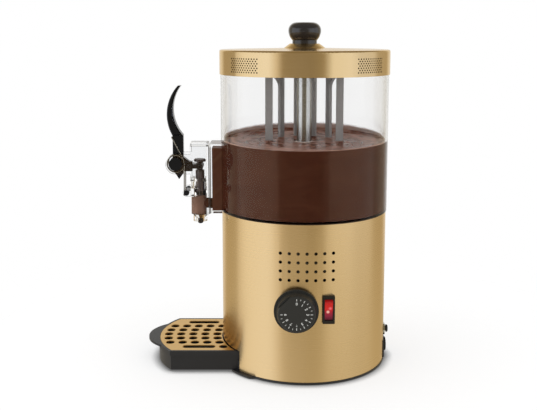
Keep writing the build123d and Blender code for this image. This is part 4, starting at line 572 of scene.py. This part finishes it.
# Chocolate in the bowl, up against the wall, drawn up at the wall and the column, with slow waves
chocolateFill = {
    "steps": 256, "wet": 1.2,  # mm past its solid, to the wall
    "columnRadius": 8.9, "edge": 0.4,  # mm: just inside the steel, and rows that keep its side crisp
    "floorGap": 0.3, "dish": -9.0, "rim": 0.2, "ledge": 0.05,  # mm from the floor's top, edge and seal
    "dip": 3.3, "climb": 3.5, "tilt": 3.0,  # mm: down in the middle, up to the wall, more at the back
    "meniscus": (0.8, 4.0), "columnMeniscus": (1.0, 3.0), "fall": 3,  # height, width in mm, how fast
    # height and length in mm, arms, phase
    "waves": ((0.10, 31.0, 3, 0.4), (0.06, 19.0, -4, 1.9), (0.035, 12.0, 7, 4.0)),
    "calm": (12.0, 6.0),  # mm from the wall and from the column where the waves die down
    # rows by their share of the way out: those at either end, then first, span and count between
    "close": (0, 0.004, 0.01, 0.02, 0.035), "open": (0.05, 0.9, 56),
}
low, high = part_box("hot_chocolate")
bottom, level = low.z / mm, high.z / mm
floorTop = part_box("bowl_floor")[1].z / mm + chocolateFill["floorGap"]
wallRadius = high.x / mm + chocolateFill["wet"]
columnRadius = chocolateFill["columnRadius"]
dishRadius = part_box("bowl_floor")[1].x / mm + chocolateFill["dish"]
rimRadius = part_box("bowl_floor")[1].x / mm + chocolateFill["rim"]
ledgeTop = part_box("floor_gasket")[0].z / mm + chocolateFill["ledge"]


def surfaceHeight(reach, turn):
    rise, width = chocolateFill["meniscus"]
    height = level + rise * math.exp(-(wallRadius - reach) / width * chocolateFill["fall"])
    climb = chocolateFill["climb"] - chocolateFill["tilt"] * math.cos(turn)
    height += climb * reach / wallRadius - chocolateFill["dip"]
    rise, width = chocolateFill["columnMeniscus"]
    height += rise * math.exp(-(reach - columnRadius) / width * chocolateFill["fall"])
    atWall, atColumn = chocolateFill["calm"]
    calm = min(1.0, (wallRadius - reach) / atWall, (reach - columnRadius) / atColumn)
    for size, length, arms, phase in chocolateFill["waves"]:
        height += calm * size * math.sin(math.tau * reach / length + arms * turn + phase)
    return height


turns = roundTurns(chocolateFill["steps"])
close, (first, span, count) = chocolateFill["close"], chocolateFill["open"]
shares = [*close, *(first + span * i / count for i in range(count + 1))]
shares += [1 - share for share in reversed(close)]
bm = bmesh.new()
# outside the floor's rim it reaches down to the bowl's ledge
sideRows = [(columnRadius, bottom), (dishRadius, bottom), (dishRadius, floorTop),
            (rimRadius, floorTop), (rimRadius, ledgeTop), (wallRadius, ledgeTop),
            (wallRadius, ledgeTop + chocolateFill["edge"])]
rows = [[addPoint(bm, reach, t, height) for t in turns] for reach, height in sideRows]
rows.append([
    addPoint(bm, wallRadius, t, surfaceHeight(wallRadius, t) - chocolateFill["edge"]) for t in turns])
for share in reversed(shares):
    reach = columnRadius + (wallRadius - columnRadius) * share
    rows.append([addPoint(bm, reach, t, surfaceHeight(reach, t)) for t in turns])
for i in range(len(rows)):
    ringFaces(bm, rows[i], rows[(i + 1) % len(rows)], 1 if i <= len(sideRows) else 0)
chocolate = addPiece(
    "chocolateFill", bm, "chocolate", hotChocolate("hotChocolateSurface"), slotMaterials["chocolate"])
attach(chocolate, "bowl")
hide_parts("hot_chocolate")

# Film on the wall over the level, highest at the back where the photo shows it
wallFilm = {
    "radius": 97.7, "inset": 0.12, "sink": 0.5,  # mm: at its top, less at its foot, below the level
    "low": 1.5, "high": 9.5, "backward": 1.4, "rows": 7,  # mm, and how late it climbs towards the back
    "edge": ((0.6, 3, 0.3), (0.3, 7, 1.1), (0.12, 13, 2.0)),  # mm, waves round the bowl, phase
}
bm = bmesh.new()
layer = bm.loops.layers.uv.new("UVMap")
lastRow = wallFilm["rows"] - 1
rows = []
for row in range(wallFilm["rows"]):
    points = []
    for t in turns:
        back = (1 - math.cos(t)) / 2
        top = wallFilm["low"] + (wallFilm["high"] - wallFilm["low"]) * back ** wallFilm["backward"]
        top += sum(size * math.sin(count * t + phase) for size, count, phase in wallFilm["edge"])
        reach = wallFilm["radius"] - wallFilm["inset"] * (1 - row / lastRow)
        height = surfaceHeight(wallRadius, t) - wallFilm["sink"] + top * row / lastRow
        points.append(addPoint(bm, reach, t, height))
    rows.append(points)
for lower, upper in zip(rows, rows[1:]):
    ringFaces(bm, lower, upper)
heights = {vert: row / lastRow for row, points in enumerate(rows) for vert in points}
for face in bm.faces:
    for loop in face.loops:
        around = math.atan2(loop.vert.co.y, loop.vert.co.x) / math.tau
        loop[layer].uv = (around, heights[loop.vert])
film = addPiece("chocolateWallFilm", bm, "chocolate", chocolateFilm("hotChocolateFilm"))
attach(film, "bowl")

# Seal pressed into the underside of the bowl's ledge: the dark line between chocolate and drum
bowlSeal = {"inner": 86.6, "outer": 100.7, "bottom": 188.06, "top": 189.1, "lip": 0.35, "steps": 128}
inner, outer, bottom, top, lip = (bowlSeal[key] for key in ("inner", "outer", "bottom", "top", "lip"))
profile = [(inner, bottom + lip), (inner + lip, bottom), (outer - lip, bottom), (outer, bottom + lip),
           (outer, top - lip), (outer - lip, top), (inner + lip, top), (inner, top - lip)]
bm = bmesh.new()
rows = [[addPoint(bm, r, t, z) for t in roundTurns(bowlSeal["steps"])] for r, z in profile]
for i in range(len(rows)):
    ringFaces(bm, rows[i], rows[(i + 1) % len(rows)])
seal = addPiece("bowlSeal", bm, "black_rubber", mouldedPlastic("rubberBrownBlack"))
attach(seal, "bowl")

# Dark sheet behind each patch of vents in the lid, painted shade that makes the vents read as dark
# points
ventShadeScreen = {
    "outer": 101.35, "sheet": 0.3, "levels": (355.9, 356.3, 372.6, 373.0),  # mm
    "pressed": 0.135,  # mm, each face at the upper and lower edge
    "patches": 4, "first": 45.0, "half": 14.5, "steps": 16,  # degrees
}
bm = bmesh.new()
steps = ventShadeScreen["steps"]
for patch in range(ventShadeScreen["patches"]):
    middle = ventShadeScreen["first"] + 360 * patch / ventShadeScreen["patches"]
    angles = [math.radians(middle + ventShadeScreen["half"] * (2 * k / steps - 1)) for k in range(steps + 1)]
    sides = []
    for radius, inwards in ((ventShadeScreen["outer"], -1), (ventShadeScreen["outer"] - ventShadeScreen["sheet"], 1)):
        grid = []
        for i, height in enumerate(ventShadeScreen["levels"]):
            atEdge = i in (0, len(ventShadeScreen["levels"]) - 1)
            reach = radius + (inwards * ventShadeScreen["pressed"] if atEdge else 0)
            grid.append([addPoint(bm, reach, a, height) for a in angles])
        sides.append(grid)
        for lower, upper in zip(grid, grid[1:]):
            for k in range(steps):
                bm.faces.new((lower[k], lower[k + 1], upper[k + 1], upper[k])).smooth = True
    outer, inner = sides
    for row in (0, -1):
        for k in range(steps):
            bm.faces.new((outer[row][k], outer[row][k + 1], inner[row][k + 1], inner[row][k]))
    for end in (0, -1):
        for i in range(len(outer) - 1):
            bm.faces.new((outer[i][end], outer[i + 1][end], inner[i + 1][end], inner[i][end]))
screen = addPiece("ventShadeScreen", bm, "dark_metal", wovenScreen("shadeScreenDark"))
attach(screen, "lid")

# Chocolate in the outlet chamber, the port and the tap's barrel, up against their walls
outletFill = {
    "half": 17.15, "front": -111.15, "back": 100.4, "bottom": 187.85, "top": 264.1, "lip": 0.6,
    "port": (6.3, 195.0, -109.0, -126.0),  # radius, height, from and to
    "barrel": (7.6, 180.9, 204.3, 0.5), "axis": -127.0,  # radius, from and to, chamfer
    "curve": 12, "steps": 48,  # along the round back, and round the tubes
}
bm = bmesh.new()
half, backRadius = outletFill["half"], outletFill["back"]
plan = [(-half, outletFill["front"]), (half, outletFill["front"])]
for i in range(outletFill["curve"] + 1):
    x = half - 2 * half * i / outletFill["curve"]
    plan.append((x, -math.sqrt(backRadius ** 2 - x ** 2)))
levels = (outletFill["bottom"], outletFill["top"] - outletFill["lip"], outletFill["top"])
chamber = [[bm.verts.new((x * mm, y * mm, z * mm)) for x, y in plan] for z in levels]
closedTube(bm, chamber)
for face in bm.faces:
    face.smooth = False
outletTurns = roundTurns(outletFill["steps"])
radius, height, start, end = outletFill["port"]
closedTube(bm, [
    [bm.verts.new((radius * mm * math.cos(t), y * mm, (height + radius * math.sin(t)) * mm))
     for t in outletTurns]
    for y in (start, end)])
radius, bottom, top, chamfer = outletFill["barrel"]
closedTube(bm, [
    [bm.verts.new((r * mm * math.cos(t), (outletFill["axis"] + r * math.sin(t)) * mm, z * mm))
     for t in outletTurns]
    for r, z in ((radius - chamfer, bottom), (radius, bottom + chamfer), (radius, top))], 1)
# the barrel takes the paler copy, painted light
outlet = addPiece(
    "chocolateOutlet", bm, "chocolate",
    hotChocolate("hotChocolateInTap"), hotChocolate("hotChocolatePaintedPaleInBarrel"))
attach(outlet, "bowl")
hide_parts("outlet_chocolate")
print("bowl: chocolate, film, seal and outlet. Lid: vent screen")


# Return spring: one wire, two coils on the lever's boss and a bridge in front of its stem
springForm = {
    "pivot": (-155.7, 243.7), "wire": 0.7, "coil": 10.4, "pitch": 2.0, "turns": 2,
    "leg": (-9.8, -39.2), "bridge": (4.9, 31.8), "bridgeSide": 5.0, "bend": 2.0,
    "sides": 10, "still": 232.0, "moving": 256.0,
    "points": {"leg": 20, "coil": 160, "rise": 16, "bend": 8, "bridge": 4},
}
pivotY, pivotZ = springForm["pivot"]
coil, counts = springForm["coil"], springForm["points"]
legForward, legUp = springForm["leg"]
bridgeForward, bridgeUp = springForm["bridge"]
legAngle = math.atan2(legUp, legForward) - math.acos(coil / math.hypot(legForward, legUp))
bridgeAngle = math.atan2(bridgeUp, bridgeForward)
bridgeAngle += math.acos(coil / math.hypot(bridgeForward, bridgeUp))
sweep = (legAngle - bridgeAngle) % math.tau + math.tau * springForm["turns"]
rate = springForm["pitch"] / math.tau


def springPoint(forward, up, side):
    return Vector((side, pivotY - forward, pivotZ + up))


outside = springForm["bridgeSide"] + rate * sweep
coilStart = springPoint(coil * math.cos(legAngle), coil * math.sin(legAngle), outside)
legEnd = springPoint(legForward, legUp, outside)
wire = [legEnd.lerp(coilStart, i / counts["leg"]) for i in range(counts["leg"])]
for i in range(counts["coil"] + 1):
    turned = sweep * i / counts["coil"]
    angle = legAngle - turned
    side = springForm["bridgeSide"] + rate * (sweep - turned)
    wire.append(springPoint(coil * math.cos(angle), coil * math.sin(angle), side))
coilEnd = wire[-1]
corner = springPoint(bridgeForward, bridgeUp, springForm["bridgeSide"])
bendStart = corner - (corner - coilEnd).normalized() * springForm["bend"]
bendEnd = corner - Vector((springForm["bend"], 0, 0))
wire += [coilEnd.lerp(bendStart, i / counts["rise"]) for i in range(1, counts["rise"] + 1)]
for i in range(1, counts["bend"] + 1):
    share = i / counts["bend"]
    wire.append(bendStart.lerp(corner, share).lerp(corner.lerp(bendEnd, share), share))
for i in range(1, counts["bridge"] + 1):
    wire.append(Vector((bendEnd.x * (1 - i / counts["bridge"]), corner.y, corner.z)))
wire += [Vector((-point.x, point.y, point.z)) for point in reversed(wire[:-1])]


def tubeRows(bm, points, radius, sides):
    # carries one frame along the line so that the tube doesn't twist
    rows = []
    run = (points[1] - points[0]).normalized()
    out = run.orthogonal().normalized()
    for i, point in enumerate(points):
        ahead = points[min(i + 1, len(points) - 1)] - points[max(i - 1, 0)]
        run = ahead.normalized()
        out = (out - run * out.dot(run)).normalized()
        over = run.cross(out)
        rows.append([
            bm.verts.new((point + out * (radius * math.cos(a)) + over * (radius * math.sin(a))) * mm)
            for a in roundTurns(sides)])
    return rows


bm = bmesh.new()
closedTube(bm, tubeRows(bm, wire, springForm["wire"], springForm["sides"]))
spring = addPiece("springWire", bm, "steel", bareMetal("springSteel"))
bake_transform(spring)
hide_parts("return_spring")
print("spring: wire of", len(wire), "points")

# Scale on the dial: numbers 0 to 9 over 270 degrees, a tick at each and one between
dialScale = {
    "centre": (-12.0, 90.0), "numbers": 10, "step": 30.0, "numberReach": 12.3, "numberSize": 4.2,
    "tick": (15.6, 18.2, 0.8), "minor": (16.4, 18.2, 0.6), "ink": 0.03, "bold": 0.14,
}
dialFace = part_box("thermostat_knob")[1].x / mm
inkFace = dialFace + dialScale["ink"]
dialY, dialZ = dialScale["centre"]
bm = bmesh.new()


def onDial(side, reach, turn):
    # side is clockwise, reach is outwards, turn is clockwise from the top
    return (dialY + side * math.cos(turn) + reach * math.sin(turn),
            dialZ - side * math.sin(turn) + reach * math.cos(turn))


def inkPatch(bm, outline):
    lower, upper = (
        [bm.verts.new((x * mm, y * mm, z * mm)) for y, z in outline] for x in (dialFace, inkFace))
    bm.faces.new(upper)
    for i in range(len(outline)):
        k = (i + 1) % len(outline)
        bm.faces.new((lower[i], lower[k], upper[k], upper[i]))


for i in range(2 * dialScale["numbers"] - 1):
    turn = math.radians(dialScale["step"] * i / 2)
    start, end, width = dialScale["minor"] if i % 2 else dialScale["tick"]
    inkPatch(bm, [onDial(-width / 2, start, turn), onDial(width / 2, start, turn),
                  onDial(width / 2, end, turn), onDial(-width / 2, end, turn)])
for number in range(dialScale["numbers"]):
    curve = bpy.data.curves.new("digit", "FONT")
    curve.body, curve.size = str(number), dialScale["numberSize"]
    curve.align_x, curve.align_y = "CENTER", "CENTER"
    curve.offset = dialScale["bold"]
    digit = bpy.data.objects.new("digit", curve)
    flat = bpy.data.meshes.new_from_object(digit)
    turn = math.radians(dialScale["step"] * number)
    corners = []
    for vert in flat.vertices:
        y, z = onDial(vert.co.x, dialScale["numberReach"] + vert.co.y, turn)
        corners.append(bm.verts.new((inkFace * mm, y * mm, z * mm)))
    for polygon in flat.polygons:
        bm.faces.new([corners[i] for i in polygon.vertices])
    bpy.data.objects.remove(digit)
    bpy.data.curves.remove(curve)
    bpy.data.meshes.remove(flat)
scale = addPiece("dialScale", bm, "black_plastic", paddedInk("inkPadPrintedWhite"))
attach(scale, "thermostat_knob")
print("dial: scale of", dialScale["numbers"], "numbers")


# Camera at the photo's height and distance, tipped down, with a small shift for the framing
cameraView = {
    "place": (1.04, -0.044, 0.40), "pitch": 8.5, "yaw": 0.04, "lens": 57.7, "sensor": 36.0,
    "shift": -0.08, "clip": (0.05, 100.0),
}
camera = bpy.data.objects.new("camera", bpy.data.cameras.new("camera"))
bpy.context.scene.collection.objects.link(camera)
camera.location = cameraView["place"]
camera.rotation_euler = (
    math.radians(90 - cameraView["pitch"]), 0, math.radians(90 - cameraView["yaw"]))
camera.data.lens = cameraView["lens"]
camera.data.sensor_width = cameraView["sensor"]
camera.data.shift_y = cameraView["shift"]
camera.data.clip_start, camera.data.clip_end = cameraView["clip"]
bpy.context.scene.camera = camera


# Studio: two tall softboxes beside the camera and one overhead, round a pale fill
softboxes = {
    "softboxLeft": {"side": -70, "distance": 2.6, "height": 0.6, "size": (3.6, 3.6), "level": 0.8},
    "softboxRight": {"side": 68, "distance": 2.6, "height": 0.6, "size": (4.0, 3.6), "level": 0.68},
}
lampAim = Vector((0, 0, 0.2))
for name, settings in softboxes.items():
    lampOrHighlight = bpy.data.lights.new(name, "AREA")
    lampOrHighlight.shape = "RECTANGLE"
    lampOrHighlight.size, lampOrHighlight.size_y = settings["size"]
    lampOrHighlight.energy = settings["level"] * math.pi * lampOrHighlight.size * lampOrHighlight.size_y
    holder = bpy.data.objects.new(name, lampOrHighlight)
    bpy.context.scene.collection.objects.link(holder)
    side, distance = math.radians(settings["side"]), settings["distance"]
    holder.location = (distance * math.cos(side), distance * math.sin(side), settings["height"])
    holder.rotation_euler = (lampAim - holder.location).to_track_quat("-Z", "Y").to_euler()
    holder.visible_camera = holder.visible_glossy = False

overhead = {"height": 2.4, "size": 2.2, "level": 0.9}
lampOrHighlight = bpy.data.lights.new("softboxTop", "AREA")
lampOrHighlight.size = overhead["size"]
lampOrHighlight.energy = overhead["level"] * math.pi * lampOrHighlight.size ** 2
holder = bpy.data.objects.new("softboxTop", lampOrHighlight)
bpy.context.scene.collection.objects.link(holder)
holder.location = (0, 0, overhead["height"])
holder.visible_camera = holder.visible_glossy = False

# what shines shows the room round it: dim behind the camera, softboxes with soft edges beside it, a
# dark gap past each and the white backdrop behind. Places on the two rows go from -X to +X
studioWorld = {
    "fill": 0.6, "backdrop": 1.0, "seam": 0.05, "mirrored": 0.5,  # from the first glossy bounce on
    "left": ((0.0, "F4F3F0"), (0.07, "EDEBE6"), (0.13, "B5A890"), (0.35, "B0A48C"), (0.37, "E4DDD0"),
             (0.50, "FAF7F0"), (0.82, "FFFFFF"), (0.89, "E0D6C4"), (0.93, "988A70"), (1.0, "90836C")),
    "right": ((0.0, "F4F3F0"), (0.07, "EDEBE6"), (0.13, "BDB29C"), (0.32, "BDB29C"), (0.40, "E0DBD2"),
              (0.62, "E4E1DC"), (0.74, "F8F6F2"), (0.91, "F4F0E6"), (0.96, "A09274"), (1.0, "90836C")),
    # colour, height where it starts and where it is full
    "underLeft": ("C6BCA6", -0.05, -0.28), "underRight": ("CCC2AA", -0.20, -0.34),
    "ceiling": ("86775A", 0.3, 0.55), "reach": (-0.75, -0.5),  # as dim as the room, and how far back
}
world = bpy.data.worlds.new("studio")
bpy.context.scene.world = world
world.use_nodes = True
tree = world.node_tree
ray = addNode(tree, "ShaderNodeLightPath")
seen = addNode(tree, "ShaderNodeMath", {
    0: ray.outputs["Is Camera Ray"], 1: ray.outputs["Is Transmission Ray"]}, operation="MAXIMUM")
way = addNode(tree, "ShaderNodeTexCoord").outputs["Generated"]
front = addNode(tree, "ShaderNodeSeparateXYZ", {"Vector": way})
share = addNode(tree, "ShaderNodeMapRange", {
    "Value": front.outputs["X"], "From Min": -1.0, "From Max": 1.0})
rows = []
for name, under, blend in (("left", "underLeft", "LIGHTEN"), ("right", "underRight", "MIX")):
    beside = addNode(tree, "ShaderNodeValToRGB", {"Fac": share.outputs[0]})
    fillRamp(beside, studioWorld[name])
    code, begins, full = studioWorld[under]
    below = addNode(tree, "ShaderNodeMapRange", {
        "Value": front.outputs["Z"], "From Min": begins, "From Max": full},
        interpolation_type="SMOOTHSTEP")
    rows.append(addNode(tree, "ShaderNodeMix", {
        "Factor": below.outputs[0], 6: beside.outputs["Color"], 7: hexColour(code)},
        data_type="RGBA", blend_type=blend))
half = addNode(tree, "ShaderNodeMapRange", {
    "Value": front.outputs["Y"], "From Min": -studioWorld["seam"], "From Max": studioWorld["seam"]})
room = addNode(tree, "ShaderNodeMix", {
    "Factor": half.outputs[0], 6: rows[0].outputs[2], 7: rows[1].outputs[2]}, data_type="RGBA")
code, begins, full = studioWorld["ceiling"]
above = addNode(tree, "ShaderNodeMapRange", {
    "Value": front.outputs["Z"], "From Min": begins, "From Max": full}, interpolation_type="SMOOTHSTEP")
begins, full = studioWorld["reach"]
ahead = addNode(tree, "ShaderNodeMapRange", {
    "Value": front.outputs["X"], "From Min": begins, "From Max": full}, interpolation_type="SMOOTHSTEP")
both = addNode(tree, "ShaderNodeMath", {0: above.outputs[0], 1: ahead.outputs[0]}, operation="MULTIPLY")
room = addNode(tree, "ShaderNodeMix", {
    "Factor": both.outputs[0], 6: room.outputs[2], 7: hexColour(code)}, data_type="RGBA")
fill, backdrop = ([studioWorld[key]] * 3 + [1] for key in ("fill", "backdrop"))
plain = addNode(tree, "ShaderNodeMix", {
    "Factor": seen.outputs[0], 6: fill, 7: backdrop}, data_type="RGBA")
# also after a reflection inside clear plastic
mirrored = addNode(tree, "ShaderNodeMath", {
    0: ray.outputs["Glossy Depth"], 1: studioWorld["mirrored"]}, operation="GREATER_THAN")
both = addNode(tree, "ShaderNodeMix", {
    "Factor": mirrored.outputs[0], 6: plain.outputs[2], 7: room.outputs[2]}, data_type="RGBA")
tree.links.new(both.outputs[2], tree.nodes["Background"].inputs["Color"])

# Pale floor that keeps the soft shadow
floorSettings = {
    "size": 12.0, "colour": "B6B6B6", "roughness": 0.9, "lift": 0.6, "fade": (0.24, 0.6),  # m
    # m round the base, how open it is there, rays to find that, and what is left of the light
    "contact": 0.012, "sheltered": (0.5, 1.0), "rays": 16, "darkest": 0.25,
}
mesh = bpy.data.meshes.new("floor")
half = floorSettings["size"] / 2
mesh.from_pydata(
    [(-half, -half, 0), (half, -half, 0), (half, half, 0), (-half, half, 0)], [], [(0, 1, 2, 3)])
floor = bpy.data.objects.new("floor", mesh)
bpy.context.scene.collection.objects.link(floor)
floor.visible_glossy = False
material, tree, shader = startMaterial(
    "floorPaper", Roughness=floorSettings["roughness"], Specular_IOR_Level=0.0)
# dark close round the base, where little light gets in
shelter = addNode(tree, "ShaderNodeAmbientOcclusion", {
    "Distance": floorSettings["contact"]}, samples=floorSettings["rays"])
closed, free = floorSettings["sheltered"]
near = addNode(tree, "ShaderNodeMapRange", {
    "Value": shelter.outputs["AO"], "From Min": closed, "From Max": free,
    "To Min": floorSettings["darkest"], "To Max": 1.0})
tone = addNode(tree, "ShaderNodeMix", {
    "Factor": near.outputs[0], 6: (0, 0, 0, 1), 7: hexColour(floorSettings["colour"])},
    data_type="RGBA")
tree.links.new(tone.outputs[2], shader.inputs["Base Color"])
ray = addNode(tree, "ShaderNodeLightPath")
seen = addNode(tree, "ShaderNodeMath", {
    0: ray.outputs["Is Camera Ray"], 1: ray.outputs["Is Transmission Ray"]}, operation="MAXIMUM")
lift = addNode(tree, "ShaderNodeMath", {
    0: seen.outputs[0], 1: floorSettings["lift"]}, operation="MULTIPLY")
lift = addNode(tree, "ShaderNodeMath", {0: lift.outputs[0], 1: near.outputs[0]}, operation="MULTIPLY")
glow = addNode(tree, "ShaderNodeEmission", {"Strength": lift.outputs[0]})
both = addNode(tree, "ShaderNodeAddShader", {0: shader.outputs[0], 1: glow.outputs[0]})
# it fades into the backdrop round the object
place = addNode(tree, "ShaderNodeTexCoord").outputs["Object"]
reach = addNode(tree, "ShaderNodeVectorMath", {0: place}, operation="LENGTH")
begins, full = floorSettings["fade"]
gone = addNode(tree, "ShaderNodeMapRange", {
    "Value": reach.outputs["Value"], "From Min": begins, "From Max": full},
    interpolation_type="SMOOTHSTEP")
clear = addNode(tree, "ShaderNodeBsdfTransparent")
faded = addNode(tree, "ShaderNodeMixShader", {
    "Fac": gone.outputs[0], 1: both.outputs[0], 2: clear.outputs[0]})
tree.links.new(faded.outputs[0], tree.nodes["Material Output"].inputs["Surface"])
mesh.materials.append(material)
bpy.context.scene.view_settings.view_transform = "Standard"
print("studio: camera,", len(softboxes) + 1, "softboxes, floor")
